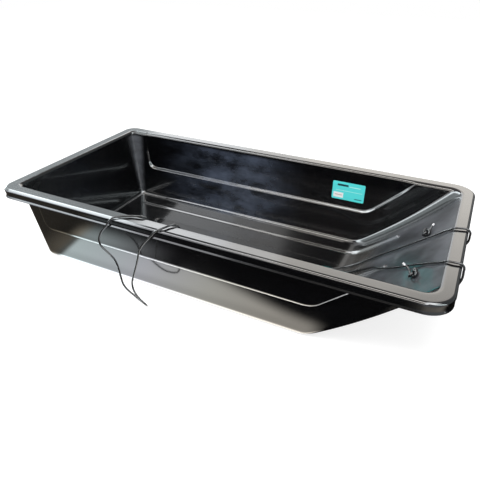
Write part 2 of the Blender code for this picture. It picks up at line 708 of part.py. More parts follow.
def knot_turns(gap):
    """Return an overhand knot's turns beside a hole, its two ends towards the hole."""
    points = []
    for step in range(KNOT_TURN_STEPS + 1):
        angle = lerp(KNOT_START_ANGLE, 2 * math.pi - KNOT_START_ANGLE, step / KNOT_TURN_STEPS)
        reach = KNOT_LOOP_SCALE * (2 + math.cos(3 * angle))
        points.append((gap - reach * math.cos(2 * angle), -reach * math.sin(2 * angle),
                       KNOT_RISE + KNOT_THICKNESS * math.sin(3 * angle)))
    return points


def build_knot(name, side, start, turns, tail, material):
    """Build a stopper knot: its start over the hole, its turns and its tail."""
    route = [place(side, point) for point in start + turns + tail]
    points = [route[0]] + spaced_points(smooth_samples(route[1:]), KNOT_POINTS)
    return cord_object(name, points, material)


def build_rope(material):
    """Build the rope, from one hole over the rim, through the tub and back."""
    route = [place(1, point) for point in ROPE_END]
    route += [Vector(point) for point in ROPE_ROUTE]
    route += [place(-1, point) for point in reversed(ROPE_END)]
    free = spaced_points(smooth_samples(route[1:-1]), ROPE_POINTS)
    return cord_object("tow_rope", [route[0]] + free + [route[-1]], material)


def main():
    """Build the sled."""
    for item in list(bpy.data.objects):
        bpy.data.objects.remove(item)
    build_tub()
    build_label()
    rope_material = plastic_material("rope_fibre", ROPE_COLOUR, 0.4)
    build_rope(rope_material)
    far_turns = knot_turns(FAR_KNOT_GAP)
    build_knot("knot_far", 1, FAR_KNOT_START, far_turns, FAR_KNOT_TAIL, rope_material)
    near_turns = list(reversed(knot_turns(NEAR_KNOT_GAP)))
    build_knot("knot_near", -1, NEAR_KNOT_START, near_turns, NEAR_KNOT_TAIL, rope_material)


if __name__ == "__main__":
    main()
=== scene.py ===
"""Looks of a moulded tub sled: its glossy black tub, its knotted tow rope and its label.

Frame: metres, +Z up, +X to the front ramp, origin on the ground under the tub's middle.
The near side, where the rope hangs over the rim, is -Y. A rise is a height above the
tub's inner floor.
"""
import logging
import math
from dataclasses import dataclass
from enum import Enum
from typing import ClassVar, Union

import bmesh
import bpy
import numpy as np
from mathutils import Matrix, Vector


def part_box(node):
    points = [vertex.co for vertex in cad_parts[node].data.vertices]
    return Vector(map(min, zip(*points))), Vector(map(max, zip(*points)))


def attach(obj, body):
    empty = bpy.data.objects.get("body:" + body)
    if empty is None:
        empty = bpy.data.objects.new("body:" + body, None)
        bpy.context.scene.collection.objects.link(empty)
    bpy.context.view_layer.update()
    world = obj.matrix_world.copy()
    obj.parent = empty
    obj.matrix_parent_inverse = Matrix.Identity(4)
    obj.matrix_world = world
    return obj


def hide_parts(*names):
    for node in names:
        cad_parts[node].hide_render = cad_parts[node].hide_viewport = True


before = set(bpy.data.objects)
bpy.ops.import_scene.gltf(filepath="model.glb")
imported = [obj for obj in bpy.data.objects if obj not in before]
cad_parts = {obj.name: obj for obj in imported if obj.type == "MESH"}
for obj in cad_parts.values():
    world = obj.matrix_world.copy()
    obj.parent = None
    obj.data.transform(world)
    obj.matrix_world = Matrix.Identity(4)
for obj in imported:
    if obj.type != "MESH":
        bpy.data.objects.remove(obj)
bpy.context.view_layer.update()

LOG = logging.getLogger("sled")
QUARTER = math.pi / 2
FULL_TURN = 2 * math.pi
WHITE = (1.0, 1.0, 1.0, 1.0)
# Layer of points that holds the painted highlight along the side panels' outline.
EDGE_HIGHLIGHT_LAYER = "painted_edge_highlight"

Colour = tuple[float, float, float]
Point = tuple[float, float, float]
Pair = tuple[float, float]


class Side(Enum):
    """A long side of the sled, by the sign of its y."""

    NEAR = -1
    FAR = 1


class Skin(Enum):
    """A face of the moulded sheet."""

    INNER = 1
    OUTER = -1


def lerp(start: float, end: float, share: float) -> float:
    """Return the value at a share of the way from start to end."""
    return start + (end - start) * share


def ease(share: float) -> float:
    """Return a share from 0 to 1 with a soft start and a soft end."""
    held = min(1.0, max(0.0, share))
    return held * held * (3 - 2 * held)


def finished_mesh(name: str, bm: bmesh.types.BMesh) -> bpy.types.Mesh:
    """Turn mesh code's work into a mesh.

    Args:
        name: The mesh's name.
        bm: The work, which is freed.

    Returns:
        The mesh.
    """
    mesh = bpy.data.meshes.new(name)
    bm.to_mesh(mesh)
    bm.free()
    return mesh


def add_object(name: str, mesh: bpy.types.Mesh,
               finish: Union[bpy.types.Material, None] = None) -> bpy.types.Object:
    """Add an object to the scene.

    Args:
        name: The object's name.
        mesh: Its mesh.
        finish: Its material, where it has one.

    Returns:
        The object.
    """
    made = bpy.data.objects.new(name, mesh)
    bpy.context.scene.collection.objects.link(made)
    if finish is not None:
        mesh.materials.append(finish)
    return made


def apply_modifiers(piece: bpy.types.Object) -> None:
    """Give a piece the mesh that its modifiers make.

    Args:
        piece: The piece, which has no modifiers afterwards.
    """
    graph = bpy.context.evaluated_depsgraph_get()
    mesh = bpy.data.meshes.new_from_object(piece.evaluated_get(graph))
    piece.modifiers.clear()
    piece.data = mesh


def report(piece: bpy.types.Object) -> bpy.types.Object:
    """Let a piece ride on the sled's body and log it.

    Args:
        piece: The finished piece.

    Returns:
        The same piece.
    """
    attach(piece, "root")
    LOG.info("%s: %d faces", piece.name, len(piece.data.polygons))
    return piece


class Wire:
    """A node's output that takes part in Python arithmetic."""

    def __init__(self, board: "NodeBoard", socket: bpy.types.NodeSocket) -> None:
        """Keep the board and the socket."""
        self.board = board
        self.socket = socket

    def _math(self, operation: str, first: "Value", second: "Value" = 0.0) -> "Wire":
        """Return the result of one Math node."""
        return self.board.node("ShaderNodeMath", {"operation": operation}, {0: first, 1: second})

    def __add__(self, other: "Value") -> "Wire":
        """Return self + other."""
        return self._math("ADD", self, other)

    __radd__ = __add__

    def __sub__(self, other: "Value") -> "Wire":
        """Return self - other."""
        return self._math("SUBTRACT", self, other)

    def __rsub__(self, other: "Value") -> "Wire":
        """Return other - self."""
        return self._math("SUBTRACT", other, self)

    def __mul__(self, other: "Value") -> "Wire":
        """Return self * other."""
        return self._math("MULTIPLY", self, other)

    __rmul__ = __mul__

    def __truediv__(self, other: "Value") -> "Wire":
        """Return self / other."""
        return self._math("DIVIDE", self, other)

    def __rtruediv__(self, other: "Value") -> "Wire":
        """Return other / self."""
        return self._math("DIVIDE", other, self)

    def __gt__(self, other: "Value") -> "Wire":
        """Return 1 where self is greater, and 0 elsewhere."""
        return self._math("GREATER_THAN", self, other)

    def __lt__(self, other: "Value") -> "Wire":
        """Return 1 where self is less, and 0 elsewhere."""
        return self._math("LESS_THAN", self, other)

    def sine(self) -> "Wire":
        """Return the sine of self."""
        return self._math("SINE", self)

    def size(self) -> "Wire":
        """Return self without its sign."""
        return self._math("ABSOLUTE", self)

    def angle(self, across: "Wire") -> "Wire":
        """Return the angle whose tangent is self over across."""
        return self._math("ARCTAN2", self, across)

    def after(self, low: float, high: float) -> "Wire":
        """Return a mask of the values from high up, with a soft edge.

        Args:
            low: The value up to which the mask is 0.
            high: The value from which it is 1.

        Returns:
            The mask.
        """
        settings = {"interpolation_type": "SMOOTHSTEP"}
        inputs = {"Value": self, "From Min": low, "From Max": high}
        return self.board.node("ShaderNodeMapRange", settings, inputs)

    def before(self, low: float, high: float) -> "Wire":
        """Return a mask that is 1 up to low and 0 from high, with a soft edge."""
        return 1 - self.after(low, high)


Value = Union[float, Wire]


class NodeBoard:
    """The node tree of a material or a world."""

    def __init__(self, owner: Union[bpy.types.Material, bpy.types.World]) -> None:
        """Clear the owner's nodes and add its output node.

        Args:
            owner: The material or world.
        """
        owner.use_nodes = True
        self.tree = owner.node_tree
        self.tree.nodes.clear()
        is_world = isinstance(owner, bpy.types.World)
        kind = "ShaderNodeOutputWorld" if is_world else "ShaderNodeOutputMaterial"
        self.output = self.tree.nodes.new(kind)

    def node(self, kind: str, settings: dict, inputs: dict, output: Union[str, int] = 0) -> Wire:
        """Add one node.

        Args:
            kind: The node's type.
            settings: Attributes to set first; "stops" is a colour ramp's list of
                (place, colour).
            inputs: Values, colours or wires by socket name or number.
            output: The output to return, by name or number.

        Returns:
            The chosen output.
        """
        made = self.tree.nodes.new(kind)
        for name, value in settings.items():
            if name == "stops":
                self._set_stops(made.color_ramp, value)
            else:
                setattr(made, name, value)
        for name, value in inputs.items():
            if isinstance(value, Wire):
                self.tree.links.new(value.socket, made.inputs[name])
            else:
                made.inputs[name].default_value = value
        return Wire(self, made.outputs[output])

    @staticmethod
    def _set_stops(ramp: bpy.types.ColorRamp, stops: list) -> None:
        """Give a colour ramp its stops.

        Args:
            ramp: The node's ramp, with its first two stops.
            stops: The stops to give it, as (place, colour).
        """
        while len(ramp.elements) < len(stops):
            ramp.elements.new(1.0)
        for element, (place, colour) in zip(ramp.elements, stops):
            element.position = place
            element.color = (*colour, 1.0)

    def ramp(self, share: Wire, stops: list) -> Wire:
        """Return a colour ramp's colour at a share."""
        return self.node("ShaderNodeValToRGB", {"stops": stops}, {"Fac": share})

    def blend(self, share: Value, first: Union[Colour, Wire], second: Union[Colour, Wire]) -> Wire:
        """Mix two colours.

        Args:
            share: How much of the second colour, from 0 to 1.
            first: The first colour.
            second: The second colour.

        Returns:
            The mixed colour.
        """
        first = first if isinstance(first, Wire) else (*first, 1.0)
        second = second if isinstance(second, Wire) else (*second, 1.0)
        inputs = {"Factor": share, 6: first, 7: second}
        return self.node("ShaderNodeMix", {"data_type": "RGBA"}, inputs, 2)

    def place(self, kind: str = "Object") -> Wire:
        """Return the surface point in metres, or another texture coordinate."""
        return self.node("ShaderNodeTexCoord", {}, {}, kind)

    def stretched(self, place: Wire, scale: Point, turn: Point = (0.0, 0.0, 0.0)) -> Wire:
        """Return a place scaled and turned."""
        inputs = {"Vector": place, "Scale": scale, "Rotation": turn}
        return self.node("ShaderNodeMapping", {}, inputs)

    def parts(self, vector: Wire) -> tuple[Wire, Wire, Wire]:
        """Take a vector apart.

        Args:
            vector: A place or a direction.

        Returns:
            Its x, its y and its z.
        """
        x = self.node("ShaderNodeSeparateXYZ", {}, {0: vector})
        outputs = x.socket.node.outputs
        return x, Wire(self, outputs[1]), Wire(self, outputs[2])

    def noise(self, place: Wire, scale: float, detail: float = 2.0, rough: float = 0.5) -> Wire:
        """Return noise from 0 to 1."""
        inputs = {"Vector": place, "Scale": scale, "Detail": detail, "Roughness": rough}
        return self.node("ShaderNodeTexNoise", {}, inputs)

    def bump(self, height: Wire, depth: float) -> Wire:
        """Return a normal for a height from 0 to 1 that stands for a depth in metres."""
        return self.node("ShaderNodeBump", {}, {"Height": height, "Distance": depth})

    def glow(self, kind: str, colour: Union[tuple, Wire], strength: Value) -> Wire:
        """Return a shader that gives light, of the kind Background or Emission."""
        return self.node(f"ShaderNode{kind}", {}, {"Color": colour, "Strength": strength})

    def ray(self, kind: str) -> Wire:
        """Return 1 for rays of one kind, such as Is Camera Ray, and 0 for others."""
        return self.node("ShaderNodeLightPath", {}, {}, kind)

    def mixed(self, share: Wire, first: Wire, second: Wire) -> Wire:
        """Return a mix of two shaders."""
        return self.node("ShaderNodeMixShader", {}, {0: share, 1: first, 2: second})

    def finish(self, surface: Wire) -> None:
        """Link the last shader to the output."""
        self.tree.links.new(surface.socket, self.output.inputs["Surface"])


class Finish:
    """A material whose nodes all feed one Principled shader."""

    name: ClassVar[str]
    colour: Colour

    def inputs(self, board: NodeBoard) -> dict:
        """Return the shader's values and wires by socket name."""
        raise NotImplementedError

    def make(self) -> bpy.types.Material:
        """Build the material.

        Returns:
            The material.
        """
        material = bpy.data.materials.new(self.name)
        board = NodeBoard(material)
        board.finish(board.node("ShaderNodeBsdfPrincipled", {}, self.inputs(board)))
        material.diffuse_color = (*self.colour, 1.0)
        return material


class TubPlaces:
    """Masks of places on the tub, each 1 inside its place and 0 outside it.

    A mask is a product of soft edges. Each edge gives the two coordinates in metres, or
    the two parts of the surface's direction, between which it changes.
    """

    def __init__(self, board: NodeBoard) -> None:
        """Work out the masks from the surface point and the way it faces.

        Args:
            board: The nodes to add to.
        """
        x, y, z = board.parts(board.place())
        _, facing_y, facing_z = board.parts(board.place("Normal"))
        across = y.size()
        below_rim = z.before(0.204, 0.214)
        self.floor = z.before(0.006, 0.014)
        self.back_end = x.before(-0.53, -0.50) * below_rim
        self.back_far_corner = x.before(-0.512, -0.482) * y.after(0.205, 0.235) * below_rim
        far_middle = x.after(-0.44, -0.15) * x.before(-0.12, 0.12) * y.after(0.20, 0.236)
        self.far_inside = far_middle * below_rim * facing_y.before(0.2, 0.5)
        ramp = x.after(0.30, 0.40) * z.before(0.216, 0.221) * across.before(0.200, 0.222)
        self.ramp = ramp * facing_z.after(0.0, 0.3)
        self.ramp_top = z.after(0.190, 0.212)
        self.ramp_foot = (x.after(0.255, 0.300) * x.before(0.330, 0.380)
                          * across.before(0.150, 0.200))
        rim_end = x.before(-0.485, -0.455) * y.after(0.240, 0.244) * z.after(0.212, 0.215)
        self.rim_far_corner = rim_end * facing_y.size().after(0.15, 0.35)


@dataclass(frozen=True)
class MouldedPlastic(Finish):
    """Glossy black sheet, a little wavy, with fine scratches, pale scuffs and painted light.

    The bluish streaks inside the far side are a painted reflection, the pale band at the far
    corner of the back end is a painted highlight, the ramp has scuffs under a painted sheen that
    is stronger near its top, the bend where the ramp leaves the floor is paler and brownish, and
    the outline of the side panels has a painted highlight.
    """

    name: ClassVar[str] = "moulded_black"
    colour: Colour = (0.0015, 0.0016, 0.0020)
    scratch_colour: Colour = (0.014, 0.014, 0.015)
    # Bluish painted reflection inside the far side.
    far_wall_reflection_colour: Colour = (0.075, 0.092, 0.130)
    # Painted highlight at the far corner of the back end.
    back_corner_highlight_colour: Colour = (0.085, 0.090, 0.100)
    # The ramp's scuffs with a painted sheen over them.
    scuff_and_sheen_colour: Colour = (0.078, 0.082, 0.093)
    bend_colour: Colour = (0.110, 0.104, 0.096)
    # Pale colour of the painted highlight along the side panels' outline.
    edge_highlight_colour: Colour = (0.80, 0.80, 0.81)
    gloss_roughness: float = 0.14
    dull_roughness: float = 0.22
    wave_depth: float = 0.0009
    scratch_strength: float = 0.2

    def inputs(self, board: NodeBoard) -> dict:
        """Describe the sheet to the shader.

        Args:
            board: The nodes to add to.

        Returns:
            Values and wires by socket name.
        """
        here = board.place()
        places = TubPlaces(board)
        cloud = board.noise(here, 9.0, 3.0)
        along = board.stretched(here, (3.0, 60.0, 60.0), (0.0, 0.0, 0.35))
        scratch = board.noise(along, 9.0, 4.0, 0.6).after(0.66, 0.74)
        colour = self._pale_layers_colour(board, places, cloud)
        worn = places.ramp * 0.6 + places.back_end * 0.6 + places.rim_far_corner
        return {
            "Base Color": board.blend(scratch * self.scratch_strength, colour, self.scratch_colour),
            "Roughness": self._roughness(places, cloud, scratch),
            "Normal": board.bump(board.noise(here, 5.5, 1.0), self.wave_depth),
            "IOR": 1.54,
            "Coat Weight": 1 - worn,
            "Coat Roughness": 0.06,
        }

    def _pale_layers_colour(self, board: NodeBoard, places: TubPlaces, cloud: Wire) -> Wire:
        """Lay painted light, scuffs and a pale patch over the black, one after the other.

        Args:
            board: The nodes to add to.
            places: Where the marks are.
            cloud: Soft patches that make a mark uneven.

        Returns:
            The colour under the scratches.
        """
        here = board.place()
        streaked = board.stretched(here, (3.5, 6.0, 7.0))
        streak = board.noise(streaked, 2.8, 4.0, 0.6).after(0.25, 0.80)
        smeared = board.stretched(here, (5.0, 7.0, 6.0), (0.0, 0.6, 0.3))
        smear = board.noise(smeared, 2.6, 4.0, 0.6).after(0.3, 0.7)
        # Scuffs on the ramp under a painted sheen, stronger near the ramp's top.
        scuff_and_sheen = 0.15 + smear * 0.55 + places.ramp_top * 0.15
        # How strongly the pale highlight is painted along the side panels' outline.
        edge_highlight_share = board.node("ShaderNodeAttribute", {"attribute_name": EDGE_HIGHLIGHT_LAYER}, {}, "Fac")
        marks = (
            # Painted reflection: bluish streaks inside the far side.
            (places.far_inside * streak, self.far_wall_reflection_colour),
            # Painted highlight down the far corner of the back end.
            (places.back_far_corner * (0.5 + streak), self.back_corner_highlight_colour),
            # The ramp's scuffs under a painted sheen.
            (places.ramp * scuff_and_sheen, self.scuff_and_sheen_colour),
            (places.ramp_foot * (0.25 + cloud * 0.35), self.bend_colour),
            # Painted highlight along the outline of the side panels.
            (edge_highlight_share * (0.8 + cloud * 0.4), self.edge_highlight_colour),
        )
        colour = self.colour
        for share, mark_colour in marks:
            colour = board.blend(share, colour, mark_colour)
        return colour

    def _roughness(self, places: TubPlaces, cloud: Wire, scratch: Wire) -> Wire:
        """Work out how rough the sheet is, smoothest on its floor.

        Args:
            places: Where the sheet is worn.
            cloud: Soft patches.
            scratch: Fine scratches.

        Returns:
            The roughness.
        """
        patchy = cloud.after(0.35, 0.75) * (self.dull_roughness - self.gloss_roughness)
        worn = places.ramp * (0.08 + cloud * 0.22) + places.back_end * 0.08
        worn = worn + places.rim_far_corner * 0.30
        roughness = self.gloss_roughness + patchy + scratch * 0.10 + worn
        return roughness * (1 - places.floor * 0.6)


@dataclass(frozen=True)
class BraidedCord(Finish):
    """Smooth black braid with a slight sheen, on a tube whose UV is (turn, length in diameters)."""

    name: ClassVar[str] = "braided_cord"
    colour: Colour = (0.003, 0.003, 0.0035)
    worn_colour: Colour = (0.010, 0.010, 0.011)
    strands: int = 8
    turns: float = 0.55
    depth: float = 0.00010

    def inputs(self, board: NodeBoard) -> dict:
        """Describe the braid to the shader.

        Args:
            board: The nodes to add to.

        Returns:
            Values and wires by socket name.
        """
        place = board.place("UV")
        across, along, _ = board.parts(place)
        round_angle = across * (math.pi * self.strands)
        run_angle = along * (FULL_TURN * self.turns)
        braid = (round_angle + run_angle).sine() * (round_angle - run_angle).sine()
        height = braid.size()
        fibre = board.noise(board.stretched(place, (26.0, 9.0, 1.0)), 6.0, 2.0)
        return {
            "Base Color": board.blend(height * fibre, self.colour, self.worn_colour),
            "Roughness": 0.20 + fibre * 0.14,
            "Normal": board.bump(height + fibre * 0.3, self.depth),
            "IOR": 1.46,
            "Coat Weight": 0.5,
            "Coat Roughness": 0.10,
        }


@dataclass(frozen=True)
class CutFibre(Finish):
    """Pale, slightly fused fibre at a cord's cut end."""

    name: ClassVar[str] = "cut_fibre"
    colour: Colour = (0.50, 0.50, 0.51)
    light_colour: Colour = (0.85, 0.85, 0.87)
    depth: float = 0.0002

    def inputs(self, board: NodeBoard) -> dict:
        """Describe the cut fibre to the shader.

        Args:
            board: The nodes to add to.

        Returns:
            Values and wires by socket name.
        """
        grain = board.noise(board.place(), 900.0, 2.0)
        return {
            "Base Color": board.blend(grain, self.colour, self.light_colour),
            "Roughness": 0.35 + grain * 0.2,
            "Normal": board.bump(grain, self.depth),
        }


@dataclass(frozen=True)
class Patch:
    """A rectangle printed on the label, as shares of its length and its height."""

    left: float
    right: float
    low: float
    high: float
    colour: Colour

    def mask(self, along: Wire, up: Wire) -> Wire:
        """Return 1 inside the rectangle and 0 outside it."""
        return ((along > self.left) * (along < self.right)) * ((up > self.low) * (up < self.high))


@dataclass(frozen=True)
class PrintedFilm(Finish):
    """Turquoise film with plain printed bars and a pale box, and nothing to read.

    left and low are the x and the z of its lower back corner, and length and height are
    its size.
    """

    left: float
    low: float
    length: float
    height: float
    name: ClassVar[str] = "printed_film"
    colour: Colour = (0.085, 0.66, 0.66)
    mottle_colour: Colour = (0.12, 0.76, 0.76)
    depth: float = 0.00005
    patches: tuple[Patch, ...] = (
        Patch(0.15, 0.49, 0.76, 0.87, (0.012, 0.045, 0.06)),
        Patch(0.52, 0.86, 0.755, 0.80, (0.45, 0.82, 0.80)),
        Patch(0.11, 0.93, 0.50, 0.53, (0.40, 0.78, 0.76)),
        Patch(0.05, 0.36, 0.10, 0.39, (0.78, 0.80, 0.80)),
        Patch(0.09, 0.32, 0.22, 0.28, (0.55, 0.42, 0.40)),
        Patch(0.72, 0.94, 0.12, 0.17, (0.012, 0.10, 0.12)),
    )

    def inputs(self, board: NodeBoard) -> dict:
        """Describe the printed film to the shader.

        Args:
            board: The nodes to add to.

        Returns:
            Values and wires by socket name.
        """
        here = board.place()
        x, _, z = board.parts(here)
        along = (x - self.left) / self.length
        up = (z - self.low) / self.height
        mottle = board.noise(here, 160.0, 3.0)
        colour = board.blend(mottle * 0.25, self.colour, self.mottle_colour)
        for patch in self.patches:
            colour = board.blend(patch.mask(along, up), colour, patch.colour)
        return {
            "Base Color": colour,
            "Roughness": 0.30 + mottle * 0.12,
            "Normal": board.bump(mottle, self.depth),
        }


@dataclass(frozen=True)
class Level:
    """One closed ring of the tub.

    The ring is a rounded rectangle. Its height may differ at the front. rise is the
    height above the inner floor that sets the side panel's outline, and step_share is
    how much of the panel's depth is left.
    """

    half_width: float
    back: float
    front: float
    back_corner: float
    front_corner: float
    side_z: float
    front_z: float
    rise: float
    step_share: float


@dataclass
class TubForm:
    """The tub's sizes and the shape of its sheet's visible face."""

    rim_height: float = 0.222
    opening_length: float = 1.060
    opening_width: float = 0.496
    floor_width: float = 0.451
    sheet: float = 0.004
    back_wall_lean: float = 0.031
    ramp_run: float = 0.237
    ramp_foot_angle: float = math.radians(36.4)
    bend_radius: float = 0.090
    wall_foot_radius: float = 0.012
    back_corner_radius: float = 0.013
    ramp_foot_corner_radius: float = 0.024
    ramp_top_corner_radius: float = 0.032
    rim_inner_radius: float = 0.0084
    rim_front_inner_radius: float = 0.010
    rim_band: float = 0.021
    rim_outer_radius: float = 0.007
    skirt_drop: float = 0.026
    skirt_neck: float = 0.002
    lip_height: float = 0.0065
    back_rim_corner_radius: float = 0.034
    front_rim_corner_radius: float = 0.054
    panel_ledge: float = 0.0975
    panel_border: float = 0.0070
    panel_outer_border: float = 0.0095
    panel_step: float = 0.009
    panel_top_step: float = 0.004
    panel_back_margin: float = 0.047
    panel_front_margin: float = 0.105
    panel_back_corner_radius: float = 0.028
    panel_front_corner_radius: float = 0.060
    panel_edge_start: float = 0.0008
    panel_crease: float = 0.0024
    panel_crease_share: float = 0.55
    panel_round_power: float = 1.5
    panel_top_softness: float = 2.4
    edge_steps: int = 8
    skirt_shares: tuple[float, ...] = (0.2, 0.4, 0.6, 0.8, 1.0)

    def __post_init__(self) -> None:
        """Work out the sizes that follow from the others."""
        self.wall_height = self.rim_height - self.sheet - self.rim_inner_radius
        self.front_top = self.opening_length / 2
        self.back_top = -self.opening_length / 2
        self.back_foot = self.back_top + self.back_wall_lean
        self.ramp_foot = self.front_top - self.ramp_run
        self.rim_offset = self.rim_inner_radius + self.rim_band + self.rim_outer_radius
        self.bend_edge = self.ramp_foot - self.bend_radius * math.tan(self.ramp_foot_angle / 2)
        self.bend_top = self.bend_radius * (1 - math.cos(self.ramp_foot_angle))
        self.arc_start = self.bend_edge + self.bend_radius * math.sin(self.ramp_foot_angle)
        run = self.front_top - self.arc_start
        climb = self.wall_height - self.bend_top
        self.ramp_chord = math.atan2(climb, run)
        self.ramp_top_angle = 2 * self.ramp_chord - self.ramp_foot_angle
        half_turn = (self.ramp_top_angle - self.ramp_foot_angle) / 2
        self.ramp_radius = math.hypot(run, climb) / (2 * math.sin(half_turn))
        self.back_slope = math.atan2(self.wall_height, self.back_wall_lean)

    def _leaning(self, rise: float, foot: float, lean: float) -> float:
        """Work out how far out a leaning wall with a foot fillet is.

        Args:
            rise: The height above the inner floor.
            foot: How far out the wall's plane meets the floor.
            lean: How much further out the plane is at the wall's top.

        Returns:
            The distance out.
        """
        turn = math.atan2(self.wall_height, lean)
        radius = self.wall_foot_radius
        if rise < radius * (1 - math.cos(turn)):
            run = math.sqrt(max(0.0, radius ** 2 - (radius - rise) ** 2))
            return foot - radius * math.tan(turn / 2) + run
        return foot + lean * rise / self.wall_height

    def half_width(self, rise: float) -> float:
        """Return the side wall's half width outside its panel."""
        lean = (self.opening_width - self.floor_width) / 2 - self.panel_top_step
        return self._leaning(rise, self.floor_width / 2, lean)

    def back_x(self, rise: float) -> float:
        """Return the back wall's x."""
        return -self._leaning(rise, -self.back_foot, self.back_wall_lean)

    def ramp_point(self, rise: float) -> tuple[float, float, float]:
        """Find a point on the ramp, which is a bend and then a longer arc.

        Args:
            rise: The height above the inner floor.

        Returns:
            Its x, its slope angle and the distance run along the sheet from x = 0.
        """
        if rise <= self.bend_top:
            angle = math.acos(1 - rise / self.bend_radius)
            x = self.bend_edge + self.bend_radius * math.sin(angle)
            return x, angle, self.bend_edge + self.bend_radius * angle
        start = self.ramp_foot_angle
        angle = math.acos(math.cos(start) - (rise - self.bend_top) / self.ramp_radius)
        x = self.arc_start + self.ramp_radius * (math.sin(angle) - math.sin(start))
        run = self.bend_edge + self.bend_radius * start + self.ramp_radius * (angle - start)
        return x, angle, run

    def _panel_corner(self, front: bool) -> Pair:
        """Choose one of the side panel's two legs.

        Args:
            front: Whether the front leg is meant, or the back one.

        Returns:
            The leg's slope and its lower corner's radius.
        """
        if front:
            return self.ramp_chord, self.panel_front_corner_radius
        return self.back_slope, self.panel_back_corner_radius

    def _leg_reach(self, climb: float, inset: float, front: bool) -> float:
        """Follow a panel's lower corner and leg.

        Args:
            climb: The height above the panel's ledge.
            inset: How far inside the panel's outline the edge is.
            front: Whether the front leg is meant, or the back one.

        Returns:
            The distance beyond the arc's centre.
        """
        slope, corner_radius = self._panel_corner(front)
        radius = corner_radius - inset
        drop = corner_radius - climb
        if drop >= radius:
            return radius - drop
        if drop > radius * math.cos(slope):
            return math.sqrt(radius * radius - drop * drop)
        return radius * math.sin(slope) + (radius * math.cos(slope) - drop) / math.tan(slope)

    def panel_centre(self, front: bool) -> float:
        """Place the arc of one of the panel's two lower corners.

        Args:
            front: Whether the front corner is meant, or the back one.

        Returns:
            The x of the arc's centre.
        """
        if front:
            corner = self.front_top - self.panel_front_margin
            corner -= (self.wall_height - self.panel_ledge) / math.tan(self.ramp_chord)
            return corner - self.panel_front_corner_radius * math.tan(self.ramp_chord / 2)
        corner = self.back_foot + self.panel_back_margin
        corner -= self.panel_ledge / math.tan(self.back_slope)
        return corner + self.panel_back_corner_radius * math.tan(self.back_slope / 2)

    def leg_x(self, rise: float, inset: float, front: bool) -> float:
        """Return x of one of the panel's two legs, moved inwards by an inset."""
        reach = self._leg_reach(rise - self.panel_ledge, inset, front)
        return self.panel_centre(front) + (reach if front else -reach)

    def inside_panel(self, x: float, rise: float) -> float:
        """Measure the distance from the panel's outline.

        Args:
            x: The place along the wall.
            rise: The height above the inner floor.

        Returns:
            The distance, positive inside the outline.
        """
        climb = rise - self.panel_ledge
        found = climb
        for front, sign in ((False, -1), (True, 1)):
            slope, radius = self._panel_corner(front)
            out = (x - self.panel_centre(front)) * sign
            up = climb - radius
            along = out * math.cos(slope) + up * math.sin(slope)
            leg = radius - (out * math.sin(slope) - up * math.cos(slope))
            if out > 0 and along < 0 and up < 0:
                leg = radius - math.hypot(out, up)
            found = min(found, leg)
        return found

    def panel_push(self, x: float, level: Level, skin: Skin) -> float:
        """Return how far the panel stands out at a place on a side wall.

        Args:
            x: The place along the wall.
            level: The ring it is on.
            skin: The face of the sheet. The outer face turns over a rounder edge.

        Returns:
            The distance outwards.
        """
        above = max(0.0, level.rise - self.panel_ledge)
        share = above / (self.wall_height - self.panel_ledge)
        depth = lerp(self.panel_step, self.panel_top_step, share)
        edge = self.inside_panel(x, level.rise) + self.panel_edge_start
        if skin is Skin.OUTER:
            left = 1 - min(1.0, max(0.0, edge / self.panel_outer_border))
            rounded = 1 - left ** self.panel_round_power
            share = lerp(rounded, ease(edge / self.panel_crease), self.panel_crease_share)
            return depth * share * level.step_share
        softer = 1 + self.panel_top_softness * ease((share - 0.5) / 0.5)
        return depth * ease(ease(edge / (self.panel_border * softer))) * level.step_share

    def wall_level(self, rise: float) -> Level:
        """Size the ring of the walls at one height.

        Args:
            rise: The height above the inner floor.

        Returns:
            The ring.
        """
        share = rise / self.wall_height
        front_corner = lerp(self.ramp_foot_corner_radius, self.ramp_top_corner_radius, share)
        z = self.sheet + rise
        return Level(self.half_width(rise), self.back_x(rise), self.ramp_point(rise)[0],
                     self.back_corner_radius, front_corner, z, z, rise, 1.0)

    def wall_rises(self) -> list[float]:
        """Choose the heights of the wall rings, close together on every bend.

        Returns:
            The rises, from the inner floor to the foot of the rim.
        """
        steps = 14
        turns = [self.ramp_foot_angle * step / steps for step in range(steps + 1)]
        ramp_bend = [self.bend_radius * (1 - math.cos(turn)) for turn in turns]
        below_ledge = [0.0205, 0.028, 0.042, 0.058, 0.072, 0.080]
        ledge = list(np.arange(0.0835, 0.1120, 0.0011))
        above_ledge = [0.114, 0.1165, 0.1195, 0.123, 0.127, 0.134, 0.150, 0.170, 0.190, 0.202]
        return ramp_bend + below_ledge + ledge + above_ledge + [self.wall_height]

    def _side_edge(self) -> list[Pair]:
        """Round the rim's inner edge along the sides and the back.

        Returns:
            (offset, z) points, from the top of the wall.
        """
        radius = self.rim_inner_radius
        points = []
        for step in range(1, self.edge_steps + 1):
            angle = QUARTER * step / self.edge_steps
            z = self.rim_height - radius * (1 - math.sin(angle))
            points.append((radius * (1 - math.cos(angle)), z))
        return points

    def _front_edge(self) -> list[Pair]:
        """Round the rim's inner edge at the front, where the ramp comes up less steeply.

        Returns:
            (offset, z) points, from the top of the ramp.
        """
        radius, turn = self.rim_front_inner_radius, self.ramp_top_angle
        edge_drop = radius * (1 - math.cos(turn))
        edge_start = (self.rim_inner_radius - edge_drop) / math.tan(turn)
        points = []
        for step in range(self.edge_steps):
            angle = turn * (1 - step / (self.edge_steps - 1))
            run = radius * (math.sin(turn) - math.sin(angle))
            points.append((edge_start + run, self.rim_height - radius * (1 - math.cos(angle))))
        return points

